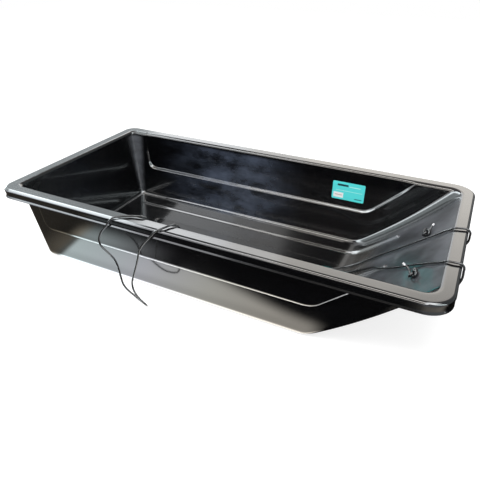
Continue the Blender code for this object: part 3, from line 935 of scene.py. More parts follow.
    def _band_and_skirt(self, start: float) -> list[Pair]:
        """Shape the rim's flat band, its outer edge, and its skirt down to the lip.

        Args:
            start: The offset at which the flat band starts.

        Returns:
            (offset, z) points, from the flat band out to the lip.
        """
        top, outer = self.rim_height, self.rim_outer_radius
        band_end = self.rim_inner_radius + self.rim_band
        neck_z = top - self.skirt_drop + self.lip_height
        points = [(lerp(start, band_end, share), top) for share in (0.2, 0.5, 0.8)]
        for step in range(self.edge_steps + 1):
            angle = QUARTER * step / self.edge_steps
            z = top - outer * (1 - math.cos(angle))
            points.append((band_end + outer * math.sin(angle), z))
        for share in self.skirt_shares:
            z = lerp(top - outer, neck_z, share)
            points.append((self.rim_offset - self.skirt_neck * share, z))
        for share in self.skirt_shares:
            z = neck_z - self.lip_height * share
            points.append((self.rim_offset - self.skirt_neck * (1 - ease(share)), z))
        return points

    def rim_profiles(self) -> tuple[list[Pair], list[Pair]]:
        """Shape the rim along the sides and at the front.

        Returns:
            (offset, z) points for the sides, and as many for the front.
        """
        sides, fronts = self._side_edge(), self._front_edge()
        shared = self._band_and_skirt(fronts[-1][0])
        return sides + shared, fronts + shared

    def rim_levels(self) -> list[Level]:
        """Size the rings of the rim.

        Returns:
            The rings, from the top of the walls out to the lip.
        """
        levels = []
        for (offset, z), (front_offset, front_z) in zip(*self.rim_profiles()):
            share = min(1.0, offset / self.rim_offset)
            left = max(0.0, 1 - offset / self.rim_inner_radius) ** 2
            half = self.opening_width / 2 + offset - self.panel_top_step * left
            levels.append(Level(
                half, self.back_top - offset, self.front_top + front_offset,
                lerp(self.back_corner_radius, self.back_rim_corner_radius, share),
                lerp(self.ramp_top_corner_radius, self.front_rim_corner_radius, share),
                z, front_z, self.wall_height, left))
        return levels


@dataclass
class Beads:
    """The stiffening beads along the floor and up the ramp."""

    form: TubForm
    count: int = 3
    spacing: float = 0.1625
    half_width: float = 0.0078
    crest_half: float = 0.0022
    height: float = 0.005
    back_gap: float = 0.058
    top_rise: float = 0.093
    groove_inset: float = 0.002

    def middles(self) -> list[float]:
        """Return the y of each bead."""
        return [(number - (self.count - 1) / 2) * self.spacing for number in range(self.count)]

    def lift(self, run: float, y: float, skin: Skin) -> float:
        """Return how far a bead lifts the sheet.

        Args:
            run: The distance along the floor and up the ramp, from x = 0.
            y: The place across the sled.
            skin: The face of the sheet. Its outer face has a narrower bead.

        Returns:
            The lift square to the sheet.
        """
        inset = self.groove_inset if skin is Skin.OUTER else 0.0
        start = self.form.back_foot + self.back_gap + self.half_width
        end = self.form.ramp_point(self.top_rise)[2] - self.half_width
        beyond = max(0.0, start - run, run - end)
        away = min(math.hypot(beyond, y - middle) for middle in self.middles())
        foot = self.half_width - inset
        return self.height * ease((foot - away) / (foot - self.crest_half + inset / 2))


@dataclass(frozen=True)
class PaintedEdgeHighlight:
    """Where a pale highlight is painted along the outside edge of the side panels.

    The painted highlight lies within reach of a line just inside the panel's outline,
    between the heights low and high. It starts at x = back and gets stronger from x = front on.
    """

    middle: float = 0.0012
    reach: float = 0.0030
    low: float = 0.08
    high: float = 0.19
    back: float = -0.42
    back_run: float = 0.2
    front: float = 0.10
    front_run: float = 0.15
    back_strength: float = 0.30
    front_gain: float = 0.60

    def strength(self, form: TubForm, place: Vector) -> float:
        """Work out how strong the painted highlight is, which is more towards the front.

        Args:
            form: The tub's sizes.
            place: A point of the sheet.

        Returns:
            The strength of the painted highlight, from 0 to 1.
        """
        x, y, z = place
        half = form.half_width(max(0.0, z - form.sheet)) + form.sheet * 0.5
        if abs(y) <= half or not self.low < z < self.high:
            return 0.0
        off = abs(form.inside_panel(x, z - form.sheet) - self.middle) / self.reach
        front = ease((x - self.front) / self.front_run)
        level = self.back_strength + self.front_gain * front
        return level * ease(1 - off) * ease((x - self.back) / self.back_run)


@dataclass
class TubShell:
    """The whole tub as one closed sheet of quads.

    The sheet is a floor grid inside rings, which climb the walls and go over the rim. Each
    ring has the same columns, so that a column runs from the floor out to the lip.
    """

    form: TubForm
    beads: Beads
    # Where the pale highlight is painted along the side panels' outline.
    edge_highlight: PaintedEdgeHighlight = PaintedEdgeHighlight()
    corner_steps: int = 12
    hole_diameter: float = 0.010
    hole_spacing: float = 0.190
    hole_height: float = 0.1635
    lip_crown: float = 0.0012
    sharp_angle: float = math.radians(50)

    def __post_init__(self) -> None:
        """Choose the places of the columns, close together where the sheet turns."""
        self.leg_insets = np.linspace(-0.0025, 0.0095, 12)
        self.back_shares = np.concatenate([
            np.linspace(0.0, 0.33, 5), np.linspace(0.36, 0.45, 14), np.linspace(0.5, 0.92, 5)])
        self.middle_shares = np.linspace(0.0, 1.0, 30)[1:-1]
        self.front_shares = np.linspace(0.0, 1.0, 9)[1:]
        bead_gaps = (0.0, 0.0009, 0.0018, 0.0026, 0.0034, 0.0042, 0.005, 0.0058, 0.0066, 0.0074,
                     0.0083, 0.0105)
        # A line is the y of a column that runs along the floor and up both ends.
        lines = {0.035, 0.060, 0.080, 0.095, 0.110, 0.128, 0.143, 0.182, 0.190}
        for middle in self.beads.middles():
            lines |= {round(middle + side * gap, 6) for gap in bead_gaps for side in (-1, 1)}
        self.lines = sorted({value for line in lines for value in (line, -line)})

    def side_xs(self, level: Level) -> list[float]:
        """Place the columns along a side.

        Args:
            level: The ring.

        Returns:
            Each column's x, back to front.
        """
        form, rise = self.form, level.rise
        start = level.back + level.back_corner
        end = level.front - level.front_corner
        back_legs = [form.leg_x(rise, inset, False) for inset in self.leg_insets]
        front_legs = [form.leg_x(rise, inset, True) for inset in reversed(self.leg_insets)]
        xs = [lerp(start, back_legs[0], share) for share in self.back_shares]
        xs += back_legs
        xs += [lerp(back_legs[-1], front_legs[0], share) for share in self.middle_shares]
        xs += front_legs
        return xs + [lerp(front_legs[-1], end, share) for share in self.front_shares]

    def end_ys(self, level: Level, corner: float) -> list[float]:
        """Place the columns along the front or the back.

        Args:
            level: The ring.
            corner: The radius of its corners at that end.

        Returns:
            Each column's y, near to far.
        """
        limit = level.half_width - corner
        outer = [lerp(self.lines[-1], limit, share) for share in (0.35, 0.7, 1.0)]
        return [-y for y in reversed(outer)] + self.lines + outer

    def _arc(self, x: float, y: float, radius: float, start: float, zs: Pair) -> list[Point]:
        """Turn a ring's corner by a quarter.

        Args:
            x: The arc centre's x.
            y: The arc centre's y.
            radius: The arc's radius.
            start: The angle at which it starts.
            zs: The heights at its start and its end.

        Returns:
            The points between its two ends.
        """
        points = []
        for step in range(1, self.corner_steps):
            share = step / self.corner_steps
            angle = start + QUARTER * share
            points.append((x + radius * math.cos(angle), y + radius * math.sin(angle),
                           lerp(zs[0], zs[1], ease(share))))
        return points

    def ring(self, level: Level) -> np.ndarray:
        """Lay out a ring without beads or panels.

        Args:
            level: The ring's sizes.

        Returns:
            The points, from the back of the near side by the front and the far side.
        """
        half, side_z, front_z = level.half_width, level.side_z, level.front_z
        back_r, front_r = level.back_corner, level.front_corner
        back_x, front_x = level.back + back_r, level.front - front_r
        xs = self.side_xs(level)
        points = [(x, -half, side_z) for x in xs]
        points += self._arc(front_x, front_r - half, front_r, -QUARTER, (side_z, front_z))
        points += [(level.front, y, front_z) for y in self.end_ys(level, front_r)]
        points += self._arc(front_x, half - front_r, front_r, 0.0, (front_z, side_z))
        points += [(x, half, side_z) for x in reversed(xs)]
        points += self._arc(back_x, half - back_r, back_r, QUARTER, (side_z, side_z))
        points += [(level.back, y, side_z) for y in reversed(self.end_ys(level, back_r))]
        points += self._arc(back_x, back_r - half, back_r, 2 * QUARTER, (side_z, side_z))
        return np.array(points)

    def floor_grid(self, level: Level) -> np.ndarray:
        """Lay out the floor inside the lowest ring.

        Args:
            level: The lowest ring, which is the floor's edge.

        Returns:
            A grid of points, by column along x and row along y, with its edges.
        """
        reach = self.corner_steps // 2
        xs = self.side_xs(level)
        back_ys = self.end_ys(level, level.back_corner)
        front_ys = self.end_ys(level, level.front_corner)
        grid = np.zeros((len(xs) + 2 * reach, len(back_ys) + 2 * reach, 3))
        for a in range(grid.shape[0]):
            column = min(max(a - reach, 0), len(xs) - 1)
            out_x = (a - reach - column) / reach
            corner = level.front_corner if out_x > 0 else level.back_corner
            share = column / (len(xs) - 1)
            corner = lerp(level.back_corner, level.front_corner, share) if out_x == 0 else corner
            for b in range(grid.shape[1]):
                row = min(max(b - reach, 0), len(back_ys) - 1)
                out_y = (b - reach - row) / reach
                y = lerp(back_ys[row], front_ys[row], share)
                edge = level.half_width - abs(lerp(back_ys[-1], front_ys[-1], share))
                dx, dy = self._corner_shift(out_x, out_y)
                span_y = corner if out_x else edge
                grid[a, b] = (xs[column] + dx * corner, y + dy * span_y, level.side_z)
        return grid

    @staticmethod
    def _corner_shift(out_x: float, out_y: float) -> Pair:
        """Round a square corner of the floor grid to a quarter disc.

        Args:
            out_x: The place's x in the square, from -1 to 1.
            out_y: The place's y in the square, from -1 to 1.

        Returns:
            The place's x and y in the disc.
        """
        far = max(abs(out_x), abs(out_y))
        if not out_x or not out_y:
            return out_x, out_y
        if abs(out_x) >= abs(out_y):
            angle = QUARTER / 2 * abs(out_y) / abs(out_x)
        else:
            angle = QUARTER - QUARTER / 2 * abs(out_x) / abs(out_y)
        x, y = far * math.cos(angle), far * math.sin(angle)
        return math.copysign(x, out_x), math.copysign(y, out_y)

    def _normals(self, rings: np.ndarray) -> np.ndarray:
        """Find which way the sheet faces at each ring point.

        Args:
            rings: The rings' points.

        Returns:
            A unit direction for each point, towards the sheet's visible face.
        """
        along = np.roll(rings, -1, axis=1) - np.roll(rings, 1, axis=1)
        outward = np.gradient(rings, axis=0)
        normals = np.cross(outward, along)
        normals /= np.linalg.norm(normals, axis=2, keepdims=True)
        normals[0] = (0.0, 0.0, 1.0)
        return normals

    def _lifts(self, levels: list[Level], rings: np.ndarray, skin: Skin) -> np.ndarray:
        """Carry the beads up the ramp.

        Args:
            levels: The rings' sizes.
            rings: Their points.
            skin: The face of the sheet.

        Returns:
            The lift square to the sheet at each ring point, which is 0 off the ramp.
        """
        lifts = np.zeros(rings.shape[:2])
        first = len(self.side_xs(levels[0])) + self.corner_steps - 1
        last = first + len(self.end_ys(levels[0], levels[0].front_corner))
        for number, level in enumerate(levels):
            if level.rise >= self.form.wall_height:
                break
            run = self.form.ramp_point(level.rise)[2]
            for column in range(first, last):
                lifts[number, column] = self.beads.lift(run, rings[number, column, 1], skin)
        return lifts

    def _pushes(self, levels: list[Level], rings: np.ndarray, skin: Skin) -> np.ndarray:
        """Push the side panels out of the walls.

        Args:
            levels: The rings' sizes.
            rings: Their points.
            skin: The face of the sheet.

        Returns:
            The move along y of each ring point.
        """
        pushes = np.zeros(rings.shape[:2])
        side = len(self.side_xs(levels[0]))
        far = side + 2 * (self.corner_steps - 1) + len(self.end_ys(levels[0], 0.0))
        for number, level in enumerate(levels):
            for column in range(side):
                push = self.form.panel_push(rings[number, column, 0], level, skin)
                pushes[number, column] = -push
                pushes[number, far + side - 1 - column] = push
        return pushes

    def skins(self) -> dict[Skin, tuple[np.ndarray, np.ndarray]]:
        """Lay out both faces of the sheet.

        Returns:
            For each face, its floor grid and its rings.
        """
        levels = [self.form.wall_level(rise) for rise in self.form.wall_rises()]
        levels += self.form.rim_levels()
        rings = np.array([self.ring(level) for level in levels])
        grid = self.floor_grid(levels[0])
        normals = self._normals(rings)
        made = {}
        for skin in Skin:
            depth = 0.0 if skin is Skin.INNER else -self.form.sheet
            lifts = self._lifts(levels, rings, skin) + depth
            moved = rings + normals * lifts[:, :, None]
            moved[:, :, 1] += self._pushes(levels, rings, skin)
            floor = grid.copy()
            for a in range(grid.shape[0]):
                for b in range(grid.shape[1]):
                    floor[a, b, 2] += self.beads.lift(grid[a, b, 0], grid[a, b, 1], skin) + depth
            made[skin] = (floor, moved)
        return made

    @staticmethod
    def _edge_walk(shape: tuple[int, int], reach: int) -> list[tuple[int, int]]:
        """Walk round the floor grid's edge in the order of a ring.

        Args:
            shape: How many columns and rows the grid has.
            reach: How many of them belong to half a corner.

        Returns:
            The (column, row) places, from the back of the near side.
        """
        last_a, last_b = shape[0] - 1, shape[1] - 1
        walk = [(a, 0) for a in range(reach, last_a)]
        walk += [(last_a, b) for b in range(last_b)]
        walk += [(a, last_b) for a in range(last_a, 0, -1)]
        walk += [(0, b) for b in range(last_b, 0, -1)]
        return walk + [(a, 0) for a in range(reach)]

    def _add_skin(self, bm: bmesh.types.BMesh, floor: np.ndarray, rings: np.ndarray,
                  flip: bool) -> list:
        """Add one face of the sheet.

        Args:
            bm: The mesh to add to.
            floor: The floor's grid of points.
            rings: The rings' points; the first ring is the floor's edge.
            flip: Whether the faces look away from the visible side.

        Returns:
            The vertices of the last ring.
        """
        grid = [[bm.verts.new(point) for point in row] for row in floor]
        loops = [[grid[a][b] for a, b in self._edge_walk(floor.shape[:2], self.corner_steps // 2)]]
        loops += [[bm.verts.new(point) for point in ring] for ring in rings[1:]]
        quads = [(grid[a][b], grid[a + 1][b], grid[a + 1][b + 1], grid[a][b + 1])
                 for a in range(len(grid) - 1) for b in range(len(grid[0]) - 1)]
        quads += self._band_quads(loops)
        for quad in quads:
            bm.faces.new(tuple(reversed(quad)) if flip else quad)
        return loops[-1]

    @staticmethod
    def _band_quads(loops: list[list]) -> list[tuple]:
        """Join each loop of vertices to the next with quads.

        Args:
            loops: Loops of as many vertices each.

        Returns:
            The quads, as vertices in order.
        """
        count = len(loops[0])
        return [(inner[i], outer[i], outer[(i + 1) % count], inner[(i + 1) % count])
                for inner, outer in zip(loops, loops[1:]) for i in range(count)]

    def mesh(self) -> bpy.types.Mesh:
        """Join the two faces at the lip.

        Returns:
            The closed mesh, without its rope holes.
        """
        skins = self.skins()
        bm = bmesh.new()
        ends = [self._add_skin(bm, *skins[skin], flip=skin is Skin.OUTER) for skin in Skin]
        middle = []
        for inner, outer in zip(*ends):
            point = (inner.co + outer.co) / 2
            point.z -= self.lip_crown
            middle.append(bm.verts.new(point))
        for quad in self._band_quads([ends[0], middle, ends[1]]):
            bm.faces.new(quad)
        mesh = finished_mesh("tub_shell", bm)
        mesh.shade_smooth()
        mesh.set_sharp_from_angle(angle=self.sharp_angle)
        return mesh

    def hole_frame(self, side: Side) -> Matrix:
        """Place a rope hole on the ramp.

        Args:
            side: The side whose hole is meant.

        Returns:
            The hole's place, with x to the near side, y up the ramp and z off the ramp.
        """
        x, slope, _ = self.form.ramp_point(self.hole_height - self.form.sheet)
        up = Vector((math.cos(slope), 0.0, math.sin(slope)))
        off = Vector((-math.sin(slope), 0.0, math.cos(slope)))
        near = Vector((0.0, -1.0, 0.0))
        centre = Vector((x, side.value * self.hole_spacing / 2, self.hole_height))
        matrix = Matrix((near, up, off)).transposed().to_4x4()
        matrix.translation = centre
        return matrix

    def _hole_cutter(self) -> bpy.types.Object:
        """Make the tool that cuts both rope holes.

        Returns:
            The cutter, which is removed after use.
        """
        bm = bmesh.new()
        radius = self.hole_diameter / 2
        for side in Side:
            bmesh.ops.create_cone(bm, cap_ends=True, segments=40, radius1=radius, radius2=radius,
                                  depth=6 * self.form.sheet, matrix=self.hole_frame(side))
        return add_object("hole_cutter", finished_mesh("hole_cutter", bm))

    def _paint_edge_highlight(self, mesh: bpy.types.Mesh) -> None:
        """Paint a pale highlight along the outside edge of the side panels.

        Args:
            mesh: The tub's mesh, which gets the painted highlight as a layer of its points.
        """
        layer = mesh.attributes.new(EDGE_HIGHLIGHT_LAYER, "FLOAT", "POINT")
        for vert, mark in zip(mesh.vertices, layer.data):
            mark.value = self.edge_highlight.strength(self.form, vert.co)

    def build(self, finish: bpy.types.Material) -> bpy.types.Object:
        """Build the tub, cut its rope holes and dress it.

        Args:
            finish: The sheet's material.

        Returns:
            The tub, which replaces the CAD tub.
        """
        shell = add_object("tub_shell", self.mesh(), finish)
        cutter = self._hole_cutter()
        cut = shell.modifiers.new("holes", "BOOLEAN")
        cut.operation = "DIFFERENCE"
        cut.solver = "EXACT"
        cut.object = cutter
        shell.modifiers.new("weights", "WEIGHTED_NORMAL").keep_sharp = True
        apply_modifiers(shell)
        bpy.data.objects.remove(cutter)
        # Paint the pale highlight along the side panels' outline.
        self._paint_edge_highlight(shell.data)
        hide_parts("tub")
        return report(shell)


@dataclass
class CordTube:
    """A round cord along a route of chosen points."""

    diameter: float = 0.0048
    sides: int = 14
    per_leg: int = 12
    cap_share: float = 0.8
    cap_bulge: float = 0.06

    def smooth(self, route: list[Vector]) -> list[Vector]:
        """Run a smooth curve through a route's points.

        Args:
            route: The points to pass through.

        Returns:
            Close points on the curve.
        """
        ends = [2 * route[0] - route[1]] + route + [2 * route[-1] - route[-2]]
        samples = []
        for before, start, end, after in zip(ends, ends[1:], ends[2:], ends[3:]):
            first = math.sqrt((start - before).length)
            middle = math.sqrt((end - start).length)
            last = math.sqrt((after - end).length)
            leave = ((start - before) / first - (end - before) / (first + middle)
                     + (end - start) / middle) * middle
            arrive = ((end - start) / middle - (after - start) / (middle + last)
                      + (after - end) / last) * middle
            for step in range(self.per_leg):
                share = step / self.per_leg
                square, cube = share ** 2, share ** 3
                samples.append(start * (2 * cube - 3 * square + 1) + end * (3 * square - 2 * cube)
                               + leave * (cube - 2 * square + share) + arrive * (cube - square))
        samples.append(route[-1])
        return samples

    def mesh(self, name: str, path: list[Vector]) -> bpy.types.Mesh:
        """Sweep a closed tube along a path.

        Args:
            name: The mesh's name.
            path: Close points along the cord's middle.

        Returns:
            The closed mesh, whose UV is (turn, length in diameters).
        """
        bm = bmesh.new()
        loops, marks = self._loops(bm, path)
        uv = bm.loops.layers.uv.new("UVMap")
        for (ring, after), (low, high) in zip(zip(loops, loops[1:]), zip(marks, marks[1:])):
            for i in range(self.sides):
                j = (i + 1) % self.sides
                face = bm.faces.new((ring[i], ring[j], after[j], after[i]))
                face.smooth = True
                places = ((i, low), (i + 1, low), (i + 1, high), (i, high))
                for corner, (turn, length) in zip(face.loops, places):
                    corner[uv].uv = (turn / self.sides, length / self.diameter)
        self._cap(bm, loops[0], path[0] - path[1], True)
        self._cap(bm, loops[-1], path[-1] - path[-2], False)
        return finished_mesh(name, bm)

    def _loops(self, bm: bmesh.types.BMesh, path: list[Vector]) -> tuple[list, list[float]]:
        """Set a ring of vertices square to the path at each of its points.

        Args:
            bm: The mesh to add to.
            path: Close points along the cord's middle.

        Returns:
            The rings of vertices, and how far along the path each one is.
        """
        loops, marks, length = [], [], 0.0
        across = (path[1] - path[0]).orthogonal().normalized()
        for index, point in enumerate(path):
            before = path[max(index - 1, 0)]
            after = path[min(index + 1, len(path) - 1)]
            tangent = (after - before).normalized()
            across = (across - tangent * across.dot(tangent)).normalized()
            up = tangent.cross(across)
            length += (point - before).length
            marks.append(length)
            angles = [FULL_TURN * i / self.sides for i in range(self.sides)]
            spokes = [across * math.cos(angle) + up * math.sin(angle) for angle in angles]
            loops.append([bm.verts.new(point + spoke * self.diameter / 2) for spoke in spokes])
        return loops, marks

    def _cap(self, bm: bmesh.types.BMesh, ring: list, outward: Vector, first: bool) -> None:
        """Close an end with a flat cut face, slightly rounded at its edge.

        Args:
            bm: The mesh to add to.
            ring: The end ring's vertices.
            outward: The way out of the cord at that end.
            first: Whether it is the path's first end.
        """
        centre = sum((vert.co for vert in ring), Vector()) / self.sides
        out = outward.normalized() * self.diameter * self.cap_bulge
        small = [bm.verts.new(centre + (vert.co - centre) * self.cap_share + out) for vert in ring]
        for i in range(self.sides):
            j = (i + 1) % self.sides
            quad = (ring[j], ring[i], small[i], small[j])
            bm.faces.new(quad if first else tuple(reversed(quad))).smooth = True
        bm.faces.new(tuple(reversed(small)) if first else small)


@dataclass
class StopperKnot:
    """An overhand knot on the ramp beside a rope hole.

    Its points are (to the near side, up the ramp, off the ramp) from the hole's middle, and
    gap is how far its own middle is from there. start leads from the hole to the knot's
    turns, which lie at standoff from the ramp, and tail leads from them to its cut end.
    """

    shell: TubShell
    side: Side
    gap: float
    start: list[Point]
    tail: list[Point]
    loop_scale: float = 0.0034
    thickness: float = 0.0038
    start_angle: float = 0.42
    turn_steps: int = 22
    standoff: float = 0.0066
    cut_reach: float = 0.0065

    def turns(self) -> list[Point]:
        """Wind the knot as a trefoil with one side open.

        Returns:
            The points of its turns, which the near knot takes the other way.
        """
        points = []
        for step in range(self.turn_steps + 1):
            angle = lerp(self.start_angle, FULL_TURN - self.start_angle, step / self.turn_steps)
            reach = self.loop_scale * (2 + math.cos(3 * angle))
            points.append((self.gap - reach * math.cos(2 * angle), -reach * math.sin(2 * angle),
                           self.standoff + self.thickness * math.sin(3 * angle)))
        return points if self.side is Side.FAR else list(reversed(points))

    def build(self, tube: CordTube, finish: bpy.types.Material,
              cut_finish: bpy.types.Material) -> bpy.types.Object:
        """Tie the knot and dress it, pale at its cut end.

        Args:
            tube: The cord it is tied in.
            finish: The cord's material.
            cut_finish: The material of its cut end.

        Returns:
            The knot, which replaces the CAD knot.
        """
        place = self.shell.hole_frame(self.side)
        route = [place @ Vector(point) for point in self.start + self.turns() + self.tail]
        name = f"knot_{self.side.name.lower()}"
        path = [route[0]] + tube.smooth(route[1:])
        knot = add_object(f"{name}_braid", tube.mesh(name, path), finish)
        knot.data.materials.append(cut_finish)
        for face in knot.data.polygons:
            if (face.center - route[-1]).length < self.cut_reach:
                face.material_index = 1
        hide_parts(name)
        return report(knot)


def stopper_knots(shell: TubShell) -> list[StopperKnot]:
    """Describe the two knots that hold the rope's ends.

    Args:
        shell: The tub they lie in.

    Returns:
        The far knot, whose cut end lies low, and the near one, whose cut end stands up.
    """
    far = StopperKnot(
        shell, Side.FAR, gap=0.019,
        start=[(0.0, 0.0, 0.0013), (0.0, 0.0, 0.0045), (0.0025, -0.0008, 0.0095),
               (0.0075, -0.0028, 0.0121)],
        tail=[(0.004, 0.0085, 0.0065), (-0.002, 0.0145, 0.0085), (-0.006, 0.0195, 0.0095)])
    near = StopperKnot(
        shell, Side.NEAR, gap=0.022,
        start=[(0.0, 0.0, 0.0013), (0.0, 0.0, 0.0045), (0.003, 0.0012, 0.0085),
               (0.0085, 0.0042, 0.0075)],
        tail=[(0.009, -0.0070, 0.0160), (0.006, -0.0100, 0.0230), (0.004, -0.0120, 0.0310)])
    return [far, near]


# The rope's middle as in the CAD: from the far hole over the front rim, down the ramp and
# along the floor, over the near rim to a loop that hangs outside, and back to the near hole.
ROPE_ROUTE = [
    (0.5000, 0.0890, 0.1455), (0.5200, 0.0750, 0.1410), (0.5450, 0.0540, 0.1520),
    (0.5640, 0.0360, 0.1780), (0.5703, 0.0275, 0.1960), (0.5702, 0.0248, 0.2110),
    (0.5697, 0.0245, 0.2180), (0.5676, 0.0250, 0.2220), (0.5640, 0.0258, 0.2248),
    (0.5590, 0.0260, 0.2259), (0.5500, 0.0240, 0.2262), (0.5416, 0.0218, 0.2259),
    (0.5369, 0.0213, 0.2248), (0.5330, 0.0225, 0.2221), (0.5290, 0.0250, 0.2180),
    (0.5180, 0.0330, 0.2066), (0.5045, 0.0383, 0.1925), (0.4660, 0.0517, 0.1550),
    (0.4410, 0.0597, 0.1315), (0.4150, 0.0650, 0.1082), (0.3840, 0.0720, 0.0814),
    (0.3520, 0.0742, 0.0548), (0.3240, 0.0710, 0.0335), (0.2940, 0.0655, 0.0170),
    (0.2600, 0.0540, 0.0085), (0.2200, 0.0330, 0.0130), (0.1700, 0.0000, 0.0165),
    (0.1200, -0.0330, 0.0120), (0.0700, -0.0700, 0.0075), (0.0000, -0.1240, 0.0085),
    (-0.0500, -0.1625, 0.0140), (-0.0800, -0.1930, 0.0140), (-0.0960, -0.2140, 0.0280),
    (-0.1020, -0.2220, 0.0550), (-0.1060, -0.2285, 0.1100), (-0.1110, -0.2380, 0.1850),
    (-0.1130, -0.2430, 0.2110), (-0.1165, -0.2475, 0.2215), (-0.1225, -0.2515, 0.2260),
    (-0.1330, -0.2550, 0.2266), (-0.1492, -0.2610, 0.2258), (-0.1719, -0.2760, 0.2262),
    (-0.1845, -0.2862, 0.2240), (-0.1930, -0.2905, 0.2150), (-0.2033, -0.2905, 0.2000),
    (-0.2187, -0.2900, 0.1834), (-0.2297, -0.2900, 0.1663), (-0.2345, -0.2900, 0.1500),
    (-0.2315, -0.2900, 0.1380), (-0.2209, -0.2900, 0.1286), (-0.2075, -0.2900, 0.1195),
    (-0.1960, -0.2900, 0.1095), (-0.1892, -0.2900, 0.0965), (-0.1848, -0.2900, 0.0769),
    (-0.1815, -0.2905, 0.0560), (-0.1768, -0.2915, 0.0400), (-0.1692, -0.2915, 0.0290),
    (-0.1592, -0.2910, 0.0210), (-0.1480, -0.2905, 0.0140), (-0.1340, -0.2915, 0.0070),
    (-0.1200, -0.2940, 0.0036), (-0.1065, -0.2980, 0.0030), (-0.1019, -0.3005, 0.0042),
    (-0.0991, -0.3037, 0.0074), (-0.0988, -0.3067, 0.0118), (-0.1011, -0.3087, 0.0162),
    (-0.1053, -0.3091, 0.0194), (-0.1110, -0.3076, 0.0208), (-0.1200, -0.3040, 0.0218),
    (-0.1310, -0.3005, 0.0275), (-0.1394, -0.2976, 0.0350), (-0.1433, -0.2957, 0.0440),
    (-0.1442, -0.2945, 0.0560), (-0.1396, -0.2931, 0.0750), (-0.1294, -0.2900, 0.1073),
    (-0.1205, -0.2900, 0.1340), (-0.1148, -0.2900, 0.1532), (-0.1043, -0.2900, 0.1717),
    (-0.0894, -0.2900, 0.1901), (-0.0732, -0.2905, 0.2083), (-0.0635, -0.2895, 0.2195),
    (-0.0540, -0.2840, 0.2254), (-0.0475, -0.2720, 0.2262), (-0.0425, -0.2600, 0.2264),
    (-0.0360, -0.2510, 0.2258), (-0.0290, -0.2450, 0.2195), (-0.0255, -0.2415, 0.2050),
    (-0.0200, -0.2350, 0.1700), (-0.0120, -0.2270, 0.1050), (-0.0060, -0.2210, 0.0550),
    (0.0000, -0.2130, 0.0280), (0.0120, -0.1930, 0.0150), (0.0380, -0.1625, 0.0160),
    (0.0850, -0.1180, 0.0110), (0.1500, -0.0610, 0.0085), (0.2200, 0.0000, 0.0148),
    (0.2450, 0.0190, 0.0115), (0.2700, 0.0300, 0.0098), (0.2950, 0.0340, 0.0172),
    (0.3190, 0.0325, 0.0297), (0.3365, 0.0265, 0.0427), (0.3560, 0.0140, 0.0612),
    (0.3710, 0.0020, 0.0774), (0.3828, -0.0060, 0.0876), (0.4000, -0.0170, 0.0967),
    (0.4240, -0.0350, 0.1162), (0.4580, -0.0590, 0.1477), (0.4834, -0.0793, 0.1720),
    (0.5068, -0.1008, 0.1952), (0.5203, -0.1154, 0.2090), (0.5290, -0.1235, 0.2180),
    (0.5330, -0.1265, 0.2221), (0.5369, -0.1285, 0.2248), (0.5416, -0.1295, 0.2259),
    (0.5500, -0.1295, 0.2262), (0.5590, -0.1285, 0.2259), (0.5640, -0.1285, 0.2248),
    (0.5676, -0.1288, 0.2220), (0.5697, -0.1295, 0.2180), (0.5702, -0.1310, 0.2110),
    (0.5708, -0.1335, 0.1960), (0.5650, -0.1350, 0.1780), (0.5450, -0.1280, 0.1520),
    (0.5200, -0.1130, 0.1410), (0.5000, -0.1005, 0.1455),
]


@dataclass
class TowRope:
    """The tow rope, from one hole over the rim, through the tub and back."""

    shell: TubShell
    tube: CordTube

    def path(self) -> list[Vector]:
        """Run the rope from the far hole to the near one.

        Returns:
            Close points of the rope's middle.
        """
        ends = [(0.0, 0.0, 0.001), (0.0, 0.0, -0.0045), (0.0, 0.0, -0.0090)]
        far, near = self.shell.hole_frame(Side.FAR), self.shell.hole_frame(Side.NEAR)
        route = [far @ Vector(point) for point in ends]
        route += [Vector(point) for point in ROPE_ROUTE]
        route += [near @ Vector(point) for point in reversed(ends)]
        return [route[0]] + self.tube.smooth(route[1:-1]) + [route[-1]]

    def build(self, finish: bpy.types.Material, knots: list[bpy.types.Object]) -> bpy.types.Object:
        """Args:
            finish: The cord's material.
            knots: The knots at its two ends; not used.

        Returns:
            The rope, which replaces the CAD rope.
        """
        path = self.path()
        rope = add_object("tow_rope_braid", self.tube.mesh("tow_rope", path), finish)
        length = sum((b - a).length for a, b in zip(path, path[1:]))
        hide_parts("tow_rope")
        LOG.info("rope length %.3f m", length)
        return report(rope)


@dataclass(frozen=True)
class Label:
    """The label on the far side, a CAD sheet that keeps its shape and gets a finish."""

    node: str = "label"

    @staticmethod
    def film() -> PrintedFilm:
        """Return printed film of the label's own size."""
        low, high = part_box("label")
        return PrintedFilm(low[0], low[2], high[0] - low[0], high[2] - low[2])

    def dress(self) -> None:
        """Give the CAD label its printed film and log it."""
        finish = self.film().make()
        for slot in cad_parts[self.node].material_slots:
            slot.material = finish
        LOG.info("%s dressed", self.node)


class Tint(Enum):
    """A colour of the light that the sled mirrors."""

    SKY = (0.84, 0.93, 0.95)
    PALE_SKY = (0.87, 0.94, 0.97)
    DAYLIGHT = (0.96, 0.98, 1.0)
    IVORY = (1.0, 0.99, 0.97)
    CREAM = (1.0, 0.96, 0.90)
    MIST = (0.94, 0.96, 0.97)


@dataclass(frozen=True)
class LightPanel:
    """The light that a glossy face mirrors from one side.

    start and end say where it takes over from the panel to its left, as the x of the
    mirrored direction. Each stop says how bright it is at a share of the way over the
    sled, from the far horizon at 0 to the near horizon at 1.
    """

    start: float
    end: float
    tint: Tint
    stops: tuple[Pair, ...]

    def coloured_stops(self) -> list:
        """Return the stops with their colours, as (place, colour)."""
        return [(place, tuple(level * part for part in self.tint.value))
                for place, level in self.stops]


